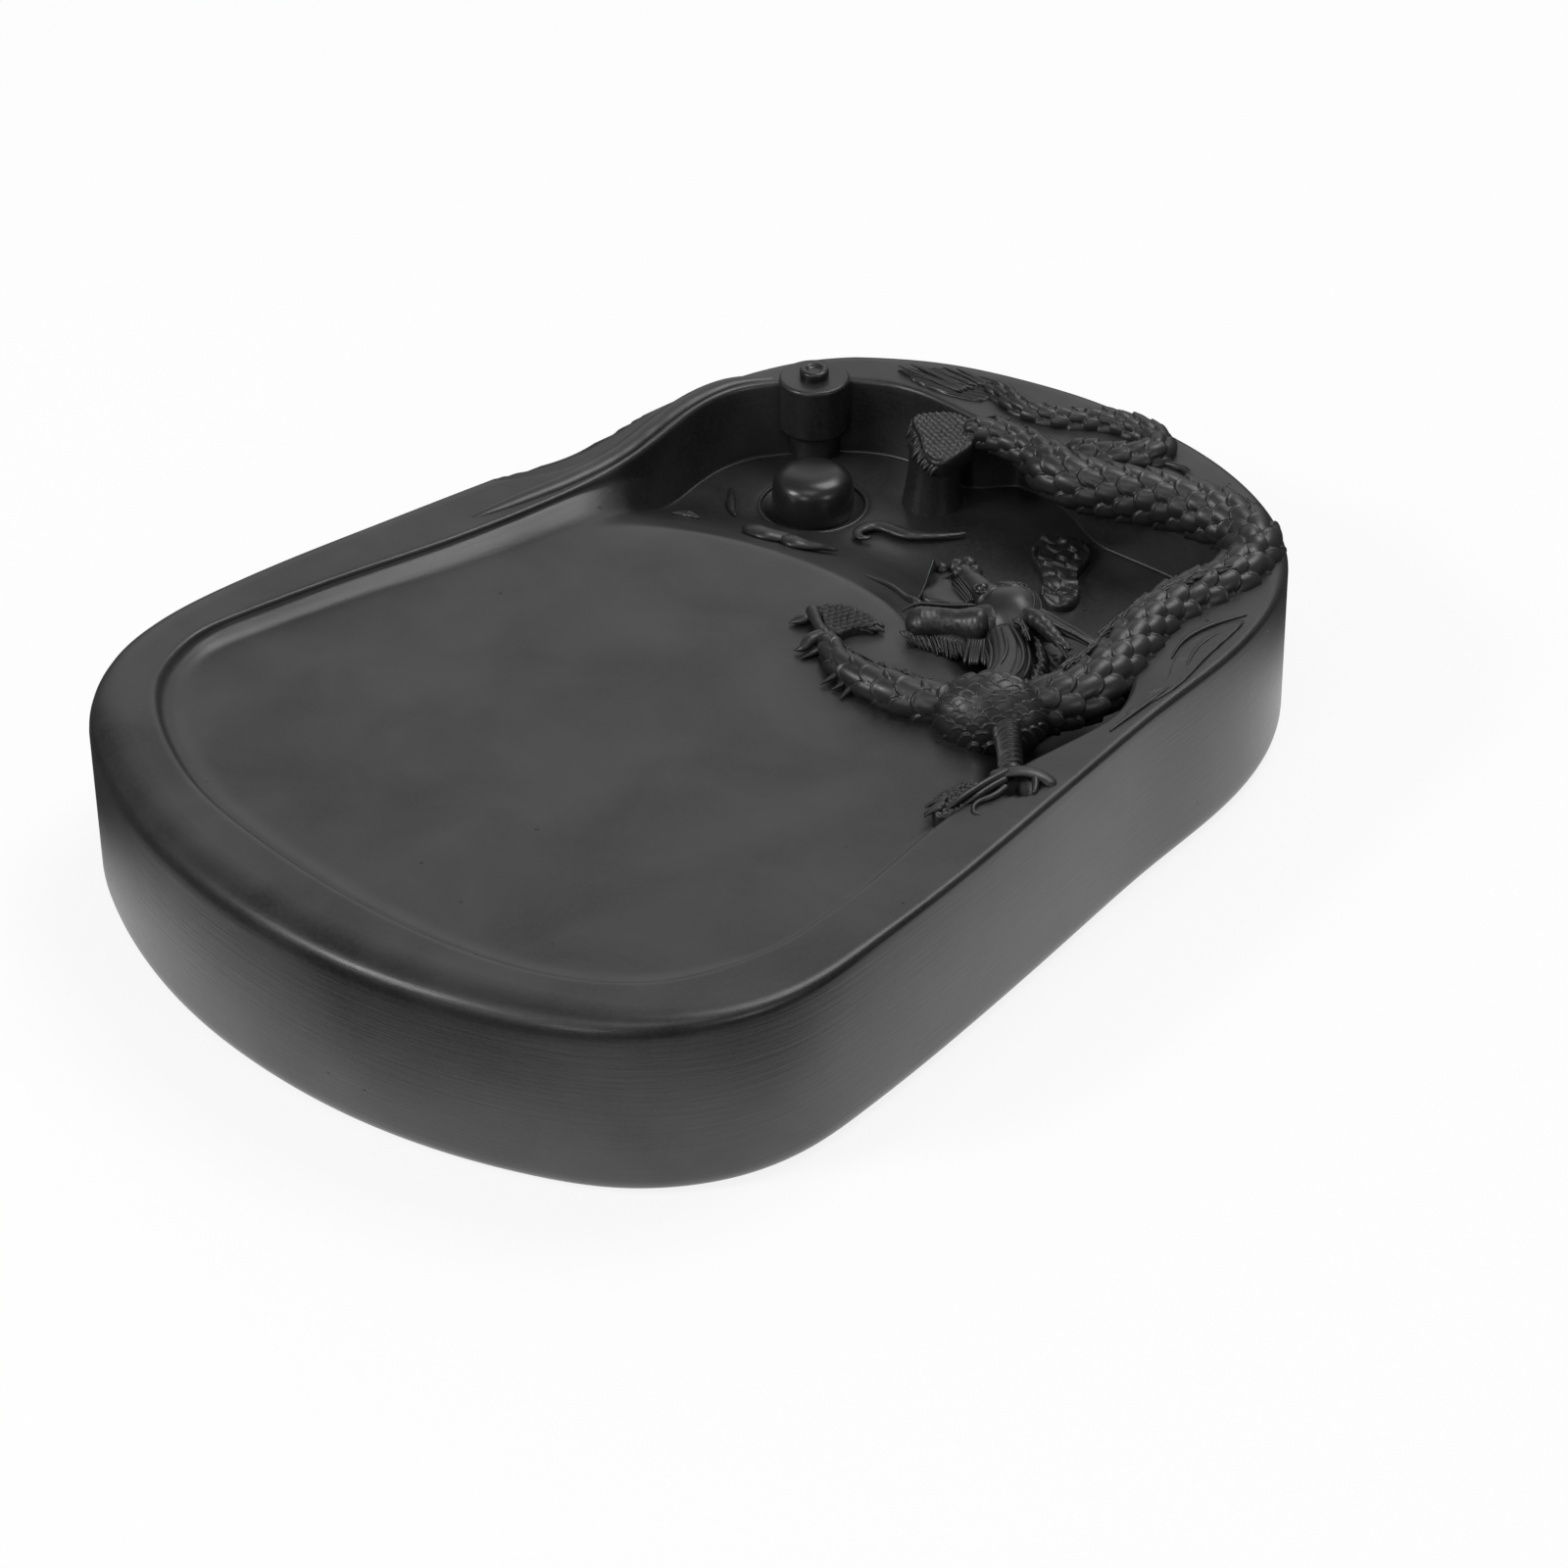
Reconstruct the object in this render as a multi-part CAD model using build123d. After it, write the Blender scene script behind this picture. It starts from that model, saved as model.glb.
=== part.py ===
from build123d import *
from build123d.topology.shape_core import SkipClean
import math
import os

# Ink stone with a carved dragon chasing a pearl.
# Millimetres, +Z up, the near (user's) end at -Y, the far end with the dragon at +Y.
# The foot of the block lies on Z = 0 and the block is centred on X = Y = 0.

# Driving sizes
block_length = 150.0
block_width = 110.0
rim_height = 23.6

foot_round = 2.6
rim_round = 2.4

bed_drop = 2.1
bed_cove = 1.4

well_drop = 10.4
well_cove = 2.6
well_near_share = -0.12
slope_top_radius = 50.0
slope_foot_radius = 71.0
slope_centre_shares = (-0.04, -0.373)

waist_top_radius = 24.0
waist_foot_radius = 18.0
waist_depth = 2.2
waist_centre_shares = (-1.215, 0.28)

bead_radius = 1.7
bead_rise = 0.6

scroll_radius = 4.6
scroll_rise = 0.5
scroll_round = 0.4
scroll_centre_shares = (-0.665, 0.700)

button_radius = 1.9
button_height = 1.2
button_round = 0.35

pearl_radius = 5.3
pearl_half_height = 4.0
pearl_lift = 1.2
pearl_centre_shares = (-0.491, 0.564)

pocket_radius = 7.4
pocket_drop = 0.9
seat_wall = 0.8
seat_rise = 0.9

cloud_height = 1.0
wisp_height = 0.7
cloud_root = 2.5

trunk_radius = 3.6
trunk_rise = 2.6

tail_root_radius = 2.7
tail_tip_radius = 0.9
tail_rise = 2.2

tuft_height = 1.2

fin_height = 0.9
fin_thickness = 0.8
fin_lean = 28.0

hind_leg_hip_radius = 2.9
hind_leg_wrist_radius = 1.7
hind_leg_rise = 1.3

hind_paw_height = 2.4
hind_paw_lift = 0.6

paw_rock_top_radius = 4.1
paw_rock_foot_radius = 5.6
paw_rock_centre_shares = (-0.291, 0.720)

pool_rock_height = 1.5

chest_across = 6.3
chest_along = 5.6
chest_up = 4.3
chest_lift = -0.6
chest_turn = 35.0
chest_centre_shares = (0.596, 0.150)

neck_root_radius = 3.4
neck_head_radius = 2.5
neck_rise = 2.4

mane_drop = 1.6

skull_across = 5.4
skull_along = 4.6
skull_up = 5.6
skull_lift = -2.0
skull_turn = -25.0
skull_centre_shares = (0.385, 0.372)

snout_root_radius = 2.3
snout_tip_radius = 1.5
snout_rise = 2.3

jaw_root_radius = 2.3
jaw_tip_radius = 1.9
jaw_rise = 1.9

beard_height = 2.1
beard_root = 1.0

eye_radius = 1.0
eye_rise = 3.0
eye_shares = ((0.310, 0.352), (0.345, 0.411))

brow_radius = 1.1
brow_rise = 3.3

horn_root_radius = 1.3
horn_tip_radius = 0.6
horn_rise = 2.5
lower_horn_root_radius = 1.2
lower_horn_tip_radius = 0.7
lower_horn_rise = 1.2

whisker_root_radius = 0.7
whisker_tip_radius = 0.4
whisker_rise = 0.2

shoulder_radius = 2.8
foreleg_radius = 2.3
wrist_radius = 1.4
left_leg_rise = 1.2

forepaw_height = 2.2
forepaw_root = 1.0
claw_root_radius = 0.95
claw_tip_radius = 0.4
claw_rise = 1.1

hair_height = 1.3
hair_root = 1.0
spike_root_radius = 0.8
spike_tip_radius = 0.3

right_leg_radius = 2.1
right_wrist_radius = 1.6
right_leg_rise = 1.9
right_paw_height = 1.7
right_paw_root = 1.6
toe_root_radius = 1.2
toe_tip_radius = 0.6
toe_rise = 1.3

relief_height = 0.6

overrun = 3.0

# Derived sizes
half_length = block_length / 2
half_width = block_width / 2
bed_height = rim_height - bed_drop
well_height = rim_height - well_drop
slope_rise = bed_height - well_height

# Plan tables: shares of the half width (across) and of the half length (along).
outline_shares = (
    (0.00, 1.000), (0.24, 0.985), (0.455, 0.932), (0.60, 0.86), (0.70, 0.77),
    (0.77, 0.665), (0.82, 0.52), (0.85, 0.335), (0.885, 0.16), (0.92, 0.00),
    (0.95, -0.15), (0.978, -0.31), (0.995, -0.44), (1.00, -0.55), (0.968, -0.665),
    (0.90, -0.755), (0.80, -0.83), (0.655, -0.893), (0.47, -0.947), (0.24, -0.987),
    (0.00, -1.000), (-0.24, -0.987), (-0.47, -0.947), (-0.655, -0.893), (-0.80, -0.83),
    (-0.90, -0.755), (-0.968, -0.665), (-1.00, -0.55), (-0.993, -0.41), (-0.972, -0.27),
    (-0.945, -0.12), (-0.916, 0.03), (-0.888, 0.175), (-0.868, 0.335), (-0.855, 0.50),
    (-0.82, 0.645), (-0.75, 0.765), (-0.64, 0.85), (-0.49, 0.92), (-0.31, 0.968),
    (-0.12, 0.996),
)
crest_shares = (
    (0.00, -0.877), (0.23, -0.870), (0.39, -0.852), (0.53, -0.824), (0.665, -0.774),
    (0.74, -0.728), (0.80, -0.667), (0.838, -0.590), (0.858, -0.515), (0.853, -0.41),
    (0.840, -0.315), (0.818, -0.225), (0.794, -0.11), (0.780, 0.00), (0.780, 0.105),
    (0.792, 0.213), (0.783, 0.295), (0.735, 0.362), (0.672, 0.43), (0.633, 0.52),
    (0.622, 0.61), (0.615, 0.69), (0.572, 0.76), (0.482, 0.805), (0.327, 0.820),
    (0.145, 0.812), (-0.075, 0.806), (-0.24, 0.797), (-0.38, 0.798), (-0.505, 0.785),
    (-0.60, 0.745), (-0.705, 0.66), (-0.762, 0.59), (-0.775, 0.52), (-0.755, 0.43),
    (-0.722, 0.31), (-0.713, 0.19), (-0.728, 0.055), (-0.762, -0.105), (-0.806, -0.255),
    (-0.840, -0.385), (-0.864, -0.49), (-0.870, -0.553), (-0.850, -0.615), (-0.806, -0.678),
    (-0.725, -0.738), (-0.573, -0.803), (-0.41, -0.846), (-0.22, -0.868),
)
bead_shares = (
    (-0.795, -0.03), (-0.770, 0.08), (-0.752, 0.19), (-0.757, 0.295), (-0.790, 0.41),
    (-0.810, 0.51), (-0.793, 0.60), (-0.733, 0.665),
)
trunk_shares = (
    (0.61, 0.175), (0.655, 0.245), (0.676, 0.300), (0.670, 0.352), (0.630, 0.45),
    (0.602, 0.54), (0.604, 0.62), (0.616, 0.695), (0.596, 0.768), (0.547, 0.820),
    (0.480, 0.844), (0.382, 0.848), (0.293, 0.835), (0.209, 0.808), (0.127, 0.782),
    (0.044, 0.771), (-0.055, 0.781),
)
corner_shares = (0.45, 0.745)
tail_shares = (
    (0.00, 0.800), (0.070, 0.830), (0.128, 0.868), (0.148, 0.912), (0.108, 0.943),
    (0.030, 0.945), (-0.045, 0.924), (-0.090, 0.896), (-0.145, 0.875), (-0.205, 0.862),
    (-0.270, 0.868), (-0.330, 0.884),
)
tuft_shares = (
    (-0.520, 0.815), (-0.455, 0.868), (-0.385, 0.905), (-0.330, 0.905), (-0.305, 0.878),
    (-0.310, 0.845), (-0.350, 0.825), (-0.430, 0.815),
)
hind_leg_shares = (
    (0.02, 0.780), (-0.075, 0.788), (-0.150, 0.784), (-0.200, 0.768), (-0.250, 0.745),
)
hind_paw_shares = (
    (-0.352, 0.708), (-0.362, 0.732), (-0.298, 0.772), (-0.238, 0.772), (-0.205, 0.738),
    (-0.198, 0.690), (-0.205, 0.655), (-0.268, 0.662),
)
pool_rock_shares = (
    (0.031, 0.697), (0.018, 0.735), (0.048, 0.762), (0.102, 0.764), (0.148, 0.745),
    (0.180, 0.695), (0.245, 0.645), (0.253, 0.608), (0.198, 0.595), (0.150, 0.622),
    (0.110, 0.656), (0.065, 0.675),
)
cloud_front_shares = (
    (-0.448, 0.352), (-0.363, 0.334), (-0.288, 0.344), (-0.248, 0.382), (-0.221, 0.422),
    (-0.248, 0.434), (-0.295, 0.382), (-0.358, 0.364), (-0.403, 0.384), (-0.445, 0.376),
)
cloud_hook_shares = (
    (-0.321, 0.525), (-0.276, 0.495), (-0.223, 0.515), (-0.196, 0.572), (-0.146, 0.642),
    (-0.126, 0.662), (-0.149, 0.667), (-0.216, 0.617), (-0.263, 0.582), (-0.306, 0.567),
)
wisp_shares = (
    ((-0.620, 0.318), (-0.575, 0.322), (-0.545, 0.345), (-0.590, 0.348)),
    ((-0.680, 0.495), (-0.640, 0.455), (-0.580, 0.425), (-0.560, 0.440), (-0.610, 0.475),
     (-0.655, 0.512)),
)
neck_shares = (
    (0.590, 0.175), (0.548, 0.235), (0.497, 0.292), (0.440, 0.332), (0.385, 0.350),
)
mane_shares = (
    (0.440, 0.372), (0.490, 0.395), (0.570, 0.330), (0.625, 0.255), (0.600, 0.220),
    (0.545, 0.255), (0.490, 0.310),
)
snout_shares = ((0.330, 0.375), (0.262, 0.384), (0.200, 0.398), (0.160, 0.403))
jaw_shares = ((0.385, 0.315), (0.330, 0.290), (0.275, 0.268), (0.222, 0.255))
beard_shares = (
    (0.195, 0.248), (0.225, 0.212), (0.285, 0.218), (0.345, 0.232), (0.400, 0.262),
    (0.405, 0.300), (0.330, 0.290), (0.260, 0.272),
)
brow_shares = ((0.318, 0.372), (0.352, 0.388), (0.390, 0.402))
horn_shares = ((0.430, 0.385), (0.492, 0.375), (0.560, 0.372), (0.632, 0.365))
lower_horn_shares = ((0.440, 0.345), (0.500, 0.352), (0.575, 0.345))
whisker_shares = ((0.215, 0.285), (0.160, 0.318), (0.100, 0.326), (0.040, 0.322), (-0.035, 0.316))
left_foreleg_shares = (
    (0.540, 0.140), (0.455, 0.110), (0.360, 0.098), (0.260, 0.092), (0.165, 0.108),
    (0.110, 0.130),
)
left_paw_shares = (
    (0.022, 0.170), (0.040, 0.185), (0.075, 0.165), (0.125, 0.145), (0.130, 0.110),
    (0.090, 0.108), (0.045, 0.138),
)
left_claw_shares = (
    ((0.060, 0.165), (0.020, 0.165), (0.005, 0.125)),
    ((0.110, 0.120), (0.080, 0.085), (0.105, 0.062)),
)
left_hair_shares = (
    (0.038, 0.183), (0.078, 0.222), (0.125, 0.228), (0.165, 0.212), (0.178, 0.190),
    (0.148, 0.165), (0.132, 0.140), (0.085, 0.155),
)
elbow_spike_shares = (
    ((0.245, 0.085), (0.222, 0.045)),
    ((0.290, 0.085), (0.262, 0.046)),
    ((0.335, 0.085), (0.298, 0.038)),
)
right_foreleg_shares = ((0.640, 0.145), (0.700, 0.100), (0.750, 0.062), (0.785, 0.030))
right_paw_shares = (
    (0.752, 0.015), (0.790, 0.058), (0.862, 0.064), (0.878, 0.035), (0.872, 0.000),
    (0.815, -0.012),
)
right_toe_shares = (
    ((0.785, 0.020), (0.780, -0.045), (0.773, -0.100), (0.770, -0.130)),
    ((0.830, 0.015), (0.815, -0.030), (0.800, -0.070)),
)
right_hair_shares = (
    (0.740, -0.050), (0.735, -0.012), (0.785, -0.005), (0.812, -0.040), (0.820, -0.078),
    (0.775, -0.104),
)
rim_cloud_shares = (
    (0.748, 0.630), (0.722, 0.560), (0.722, 0.500), (0.755, 0.440), (0.786, 0.400),
    (0.800, 0.340), (0.812, 0.270), (0.826, 0.345), (0.816, 0.425), (0.785, 0.520),
)
tendril_shares = (
    (0.175, 0.892), (0.235, 0.898), (0.300, 0.882), (0.300, 0.897), (0.240, 0.918),
    (0.175, 0.910),
)

# A ball end is a little slimmer than the body it closes.
end_ball_share = 0.96
touch_share = 0.001

# Share of each section's radius along a body, from its first end to its last.
trunk_swell_shares = (
    0.80, 0.94, 1.00, 1.00, 1.00, 1.00, 1.00, 1.00, 1.00, 1.00, 1.00, 0.99, 0.98, 0.96,
    0.94, 0.92, 0.90,
)
tail_fall_shares = (0.00, 0.12, 0.24, 0.34, 0.42, 0.50, 0.58, 0.68, 0.78, 0.86, 0.94, 1.00)
fin_last = 9
tail_turn = 5


# Small helpers
def spot(shares, height):
    """Point on the block from its two shares and a height."""
    across, along = shares
    return Vector(across * half_width, along * half_length, height)


def plan_face(shares, height):
    """Flat face inside a smooth closed line through the shares."""
    line = Spline(*[spot(pair, height) for pair in shares], periodic=True)
    return make_face(Wire([line]))


def slab_of(shares, low, high):
    """Upright solid of one plan line between two heights."""
    return extrude(plan_face(shares, low), amount=high - low, dir=(0, 0, 1))


def fading(first, last, fall_shares):
    """Radii that go from the first to the last by the given shares."""
    return [first + (last - first) * share for share in fall_shares]


def body(points, radii):
    """Round body through the points, with ball ends and a radius at each point."""
    spine = Spline(*points) if len(points) > 2 else Line(*points)
    sections = []
    for point, radius in zip(points, radii):
        along = spine % spine.param_at_point(point)
        plane = Plane(origin=point, x_dir=(0, 0, 1), z_dir=(along.X, along.Y, 0))
        sections.append(plane * Circle(radius))
    first = Pos(*points[0]) * Sphere(radii[0] * end_ball_share)
    last = Pos(*points[-1]) * Sphere(radii[-1] * end_ball_share)
    return loft(sections) + first + last


def limb(shares, first, last, height):
    """Level round body with an even taper."""
    points = [spot(pair, height) for pair in shares]
    steps = len(points) - 1
    return body(points, fading(first, last, [step / steps for step in range(len(points))]))


def egg(across, along, up):
    """Egg shape about the origin, from a unit ball."""
    return scale(Sphere(1), by=(across, along, up))


def floor_height(shares):
    """Height of the bed, the slope or the well floor under a place."""
    reach = (spot(shares, 0) - spot(slope_centre_shares, 0)).length
    fall = (reach - slope_top_radius) / (slope_foot_radius - slope_top_radius)
    return bed_height - min(max(fall, 0), 1) * slope_rise


def highest_floor(shares):
    """Highest floor under a plan line."""
    return max(floor_height(pair) for pair in shares)


def above(height):
    """Everything of the block's size that lies above a height."""
    keep = Box(block_width * 2, block_length * 2, rim_height)
    return Pos(0, 0, height + rim_height / 2) * keep


def boxes_meet(one, two):
    """Whether two bounding boxes share room, more than a touch of their sides."""
    least = overrun * touch_share
    return all(min(high, other_high) - max(low, other_low) > least
               for low, high, other_low, other_high in zip(one.min, one.max, two.min, two.max))


# The block
def make_block():
    block = slab_of(outline_shares, 0, rim_height)
    top = block.faces().sort_by(Axis.Z)[-1]
    block = fillet(top.edges(), rim_round)
    foot = block.faces().sort_by(Axis.Z)[0]
    return fillet(foot.edges(), foot_round)


def make_bed_tool():
    tool = slab_of(crest_shares, bed_height, rim_height + overrun)
    return fillet(tool.faces().sort_by(Axis.Z)[0].edges(), bed_cove)


def make_well_tool():
    tool = slab_of(crest_shares, well_height, rim_height + overrun)
    tool = fillet(tool.faces().sort_by(Axis.Z)[0].edges(), well_cove)
    near = well_near_share * half_length
    depth = half_length - near
    keep = Pos(0, near + depth / 2, rim_height / 2 + overrun)
    tool &= keep * Box(block_width, depth, rim_height + overrun * 2)
    slope = Cone(slope_foot_radius, slope_top_radius, slope_rise)
    centre = spot(slope_centre_shares, well_height + slope_rise / 2)
    return tool - Pos(*centre) * slope


def make_waist_tool():
    cone = Cone(waist_foot_radius, waist_top_radius, waist_depth)
    centre = spot(waist_centre_shares, rim_height - waist_depth / 2)
    cap = spot(waist_centre_shares, rim_height + overrun / 2)
    return Pos(*centre) * cone + Pos(*cap) * Cylinder(waist_top_radius, overrun)


def make_pearl_pocket():
    """Round pocket that the pearl sits in, cut down through the slope."""
    height = rim_height - well_height + pocket_drop
    centre = spot(pearl_centre_shares, rim_height - height / 2)
    return Pos(*centre) * Cylinder(pocket_radius, height)


def make_ink_slab():
    slab = make_block() - make_bed_tool() - make_well_tool() - make_waist_tool()
    return slab - make_pearl_pocket()


# Rim and well details
def make_rim_bead():
    height = rim_height + bead_rise - bead_radius
    return limb(bead_shares, bead_radius, bead_radius, height) & above(rim_height)


def make_scroll_end():
    top = rim_height + scroll_rise
    post = Cylinder(scroll_radius, top - well_height)
    post = fillet(post.faces().sort_by(Axis.Z)[-1].edges(), scroll_round)
    return Pos(*spot(scroll_centre_shares, (top + well_height) / 2)) * post


def make_rim_button():
    button = Cylinder(button_radius, button_height)
    button = fillet(button.faces().sort_by(Axis.Z)[-1].edges(), button_round)
    height = rim_height + scroll_rise + button_height / 2
    return Pos(*spot(scroll_centre_shares, height)) * button


def make_pearl():
    """Ball pressed a little flat, like a bun."""
    ball = scale(Sphere(pearl_radius), (1, 1, pearl_half_height / pearl_radius))
    return Pos(*spot(pearl_centre_shares, well_height + pearl_lift)) * ball


def make_pearl_seat():
    """Thin collar that lines the pocket and stands a little above the floor."""
    height = pocket_drop + seat_rise
    ring = Cylinder(pocket_radius, height) - Cylinder(pocket_radius - seat_wall, height)
    return Pos(*spot(pearl_centre_shares, well_height - pocket_drop + height / 2)) * ring


def make_cloud(shares, height):
    return slab_of(shares, well_height - cloud_root, highest_floor(shares) + height)


def make_wisps():
    first, second = wisp_shares
    wisps = make_cloud(first, wisp_height)
    return wisps + make_cloud(second, wisp_height)


def make_paw_rock():
    low = well_height
    high = rim_height + hind_paw_lift - hind_paw_height
    rock = Cone(paw_rock_foot_radius, paw_rock_top_radius, high - low)
    return Pos(*spot(paw_rock_centre_shares, (low + high) / 2)) * rock


def make_pool_rock():
    return slab_of(pool_rock_shares, well_height - cloud_root, well_height + pool_rock_height)


# The dragon's body
trunk_axis = rim_height + trunk_rise - trunk_radius
trunk_points = [spot(pair, trunk_axis) for pair in trunk_shares]
trunk_radii = [trunk_radius * share for share in trunk_swell_shares]


def make_trunk():
    return body(trunk_points, trunk_radii)


def make_front_part():
    """Block of space that holds the trunk from the chest to the far corner."""
    near = spot(corner_shares, trunk_axis)
    side = block_width - near.X
    space = Box(side, block_length, rim_height)
    return Pos(near.X + side / 2, near.Y - block_length / 2, near.Z) * space


def make_tail():
    """Tail in two runs that meet past the turn of its loop, kept where it lies on the rim."""
    radii = fading(tail_root_radius, tail_tip_radius, tail_fall_shares)
    height = rim_height + tail_rise - tail_root_radius
    points = [spot(pair, height) for pair in tail_shares]
    loop = body(points[:tail_turn + 1], radii[:tail_turn + 1])
    return (loop + body(points[tail_turn:], radii[tail_turn:])) & above(rim_height)


def make_tail_tuft():
    return slab_of(tuft_shares, rim_height, rim_height + tuft_height)


def make_spine_fin():
    spine = Spline(*trunk_points)
    lean = math.radians(fin_lean)
    crest = []
    for point, radius in zip(trunk_points[:fin_last], trunk_radii):
        along = spine % spine.param_at_point(point)
        side = Vector(-along.Y, along.X, 0)
        reach = radius + fin_height - fin_thickness
        crest.append(point + (side * math.sin(lean) + Vector(0, 0, math.cos(lean))) * reach)
    return body(crest, [fin_thickness for point in crest])


def make_hind_leg():
    height = rim_height + hind_leg_rise - hind_leg_wrist_radius
    return limb(hind_leg_shares, hind_leg_hip_radius, hind_leg_wrist_radius, height)


def make_hind_paw():
    low = rim_height + hind_paw_lift - hind_paw_height
    return slab_of(hind_paw_shares, low, rim_height + hind_paw_lift)


def make_chest():
    shape = egg(chest_across, chest_along, chest_up)
    return Pos(*spot(chest_centre_shares, rim_height + chest_lift)) * Rot(0, 0, chest_turn) * shape


# The dragon's head
def make_neck():
    height = rim_height + neck_rise - neck_root_radius
    return limb(neck_shares, neck_root_radius, neck_head_radius, height)


def make_mane():
    return slab_of(mane_shares, well_height, rim_height - mane_drop)


def make_skull():
    shape = egg(skull_across, skull_along, skull_up)
    return Pos(*spot(skull_centre_shares, rim_height + skull_lift)) * Rot(0, 0, skull_turn) * shape


def make_snout():
    height = rim_height + snout_rise - snout_root_radius
    return limb(snout_shares, snout_root_radius, snout_tip_radius, height)


def make_jaw():
    height = rim_height + jaw_rise - jaw_root_radius
    return limb(jaw_shares, jaw_root_radius, jaw_tip_radius, height)


def make_beard():
    return slab_of(beard_shares, bed_height - beard_root, bed_height + beard_height)


def make_eye(shares):
    return Pos(*spot(shares, rim_height + eye_rise - eye_radius)) * Sphere(eye_radius)


def make_brow():
    return limb(brow_shares, brow_radius, brow_radius, rim_height + brow_rise - brow_radius)


def make_horn():
    height = rim_height + horn_rise - horn_root_radius
    return limb(horn_shares, horn_root_radius, horn_tip_radius, height)


def make_lower_horn():
    height = rim_height + lower_horn_rise - lower_horn_root_radius
    return limb(lower_horn_shares, lower_horn_root_radius, lower_horn_tip_radius, height)


def make_whisker():
    height = bed_height + whisker_rise
    return limb(whisker_shares, whisker_root_radius, whisker_tip_radius, height)


# The forelegs
def make_left_foreleg():
    height = rim_height + left_leg_rise - foreleg_radius
    return limb(left_foreleg_shares, shoulder_radius, wrist_radius, height)


def make_left_forepaw():
    paw = slab_of(left_paw_shares, bed_height - forepaw_root, bed_height + forepaw_height)
    for shares in left_claw_shares:
        paw += limb(shares, claw_root_radius, claw_tip_radius, bed_height + claw_rise)
    return paw


def make_hair(shares):
    return slab_of(shares, bed_height - hair_root, bed_height + hair_height)


def make_elbow_hair():
    spikes = None
    for root, tip in elbow_spike_shares:
        points = [spot(root, bed_height), spot(tip, bed_height)]
        spike = body(points, [spike_root_radius, spike_tip_radius])
        spikes = spike if spikes is None else spikes + spike
    return spikes


def make_right_foreleg():
    height = rim_height + right_leg_rise - right_leg_radius
    return limb(right_foreleg_shares, right_leg_radius, right_wrist_radius, height)


def make_right_forepaw():
    paw = slab_of(right_paw_shares, rim_height - right_paw_root, rim_height + right_paw_height)
    for shares in right_toe_shares:
        paw += limb(shares, toe_root_radius, toe_tip_radius, bed_height + toe_rise)
    return paw


# Relief on the rim
def make_relief(shares):
    return slab_of(shares, rim_height, rim_height + relief_height)


trunk = make_trunk()
front_part = make_front_part()

# Nodes in carving order: each later one keeps only what the earlier ones leave free.
nodes = (
    ("ink_slab", make_ink_slab()),
    ("rim_scroll_end", make_scroll_end()),
    ("rim_bead", make_rim_bead()),
    ("rim_button", make_rim_button()),
    ("pearl", make_pearl()),
    ("pearl_seat", make_pearl_seat()),
    ("cloud_front", make_cloud(cloud_front_shares, cloud_height)),
    ("cloud_hook", make_cloud(cloud_hook_shares, cloud_height)),
    ("cloud_wisps", make_wisps()),
    ("dragon_trunk_front", trunk & front_part),
    ("dragon_trunk_rear", trunk - front_part),
    ("dragon_tail", make_tail()),
    ("tail_tuft", make_tail_tuft()),
    ("paw_rock", make_paw_rock()),
    ("pool_rock", make_pool_rock()),
    ("hind_leg", make_hind_leg()),
    ("hind_paw", make_hind_paw()),
    ("chest", make_chest()),
    ("spine_fin", make_spine_fin()),
    ("neck", make_neck()),
    ("skull", make_skull()),
    ("snout", make_snout()),
    ("lower_jaw", make_jaw()),
    ("beard", make_beard()),
    ("mane", make_mane()),
    ("eye_near", make_eye(eye_shares[0])),
    ("eye_far", make_eye(eye_shares[1])),
    ("brow", make_brow()),
    ("horn_upper", make_horn()),
    ("horn_lower", make_lower_horn()),
    ("whisker", make_whisker()),
    ("left_foreleg", make_left_foreleg()),
    ("left_forepaw", make_left_forepaw()),
    ("left_paw_hair", make_hair(left_hair_shares)),
    ("elbow_hair", make_elbow_hair()),
    ("right_foreleg", make_right_foreleg()),
    ("right_forepaw", make_right_forepaw()),
    ("right_paw_hair", make_hair(right_hair_shares)),
    ("rim_cloud", make_relief(rim_cloud_shares)),
    ("rim_tendril", make_relief(tendril_shares)),
)

os.makedirs("parts", exist_ok=True)
done = []
for name, shape in nodes:
    box = shape.bounding_box()
    with SkipClean():
        for other, other_box in done:
            if boxes_meet(box, other_box):
                shape = shape - other
    done.append((shape, box))
    print(name, len(shape.solids()), round(shape.volume, 2))
    export_step(shape, "parts/" + name + ".step")
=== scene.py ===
import math

import bpy
import numpy as np
from mathutils import Matrix, Vector


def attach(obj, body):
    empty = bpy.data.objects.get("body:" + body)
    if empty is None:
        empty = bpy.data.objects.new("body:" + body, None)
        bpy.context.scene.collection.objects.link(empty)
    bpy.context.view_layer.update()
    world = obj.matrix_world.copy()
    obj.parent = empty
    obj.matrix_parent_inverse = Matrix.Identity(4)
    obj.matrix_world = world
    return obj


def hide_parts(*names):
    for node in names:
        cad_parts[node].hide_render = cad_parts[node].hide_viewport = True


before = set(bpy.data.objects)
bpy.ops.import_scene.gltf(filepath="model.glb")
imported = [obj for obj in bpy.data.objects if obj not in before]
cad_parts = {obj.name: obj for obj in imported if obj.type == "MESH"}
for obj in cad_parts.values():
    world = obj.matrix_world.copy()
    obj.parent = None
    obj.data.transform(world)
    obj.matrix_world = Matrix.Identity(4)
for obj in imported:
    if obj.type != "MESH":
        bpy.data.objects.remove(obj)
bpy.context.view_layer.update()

print("frame loaded,", len(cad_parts), "nodes")

# Ink stone of black carved stone, with a dragon on its far end that chases a pearl.
# Every length below is in millimetres in the frame's own axes; addPiece turns them to metres.

millimetre = 0.001
tiny = 1e-9


# Curves and fields

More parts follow.
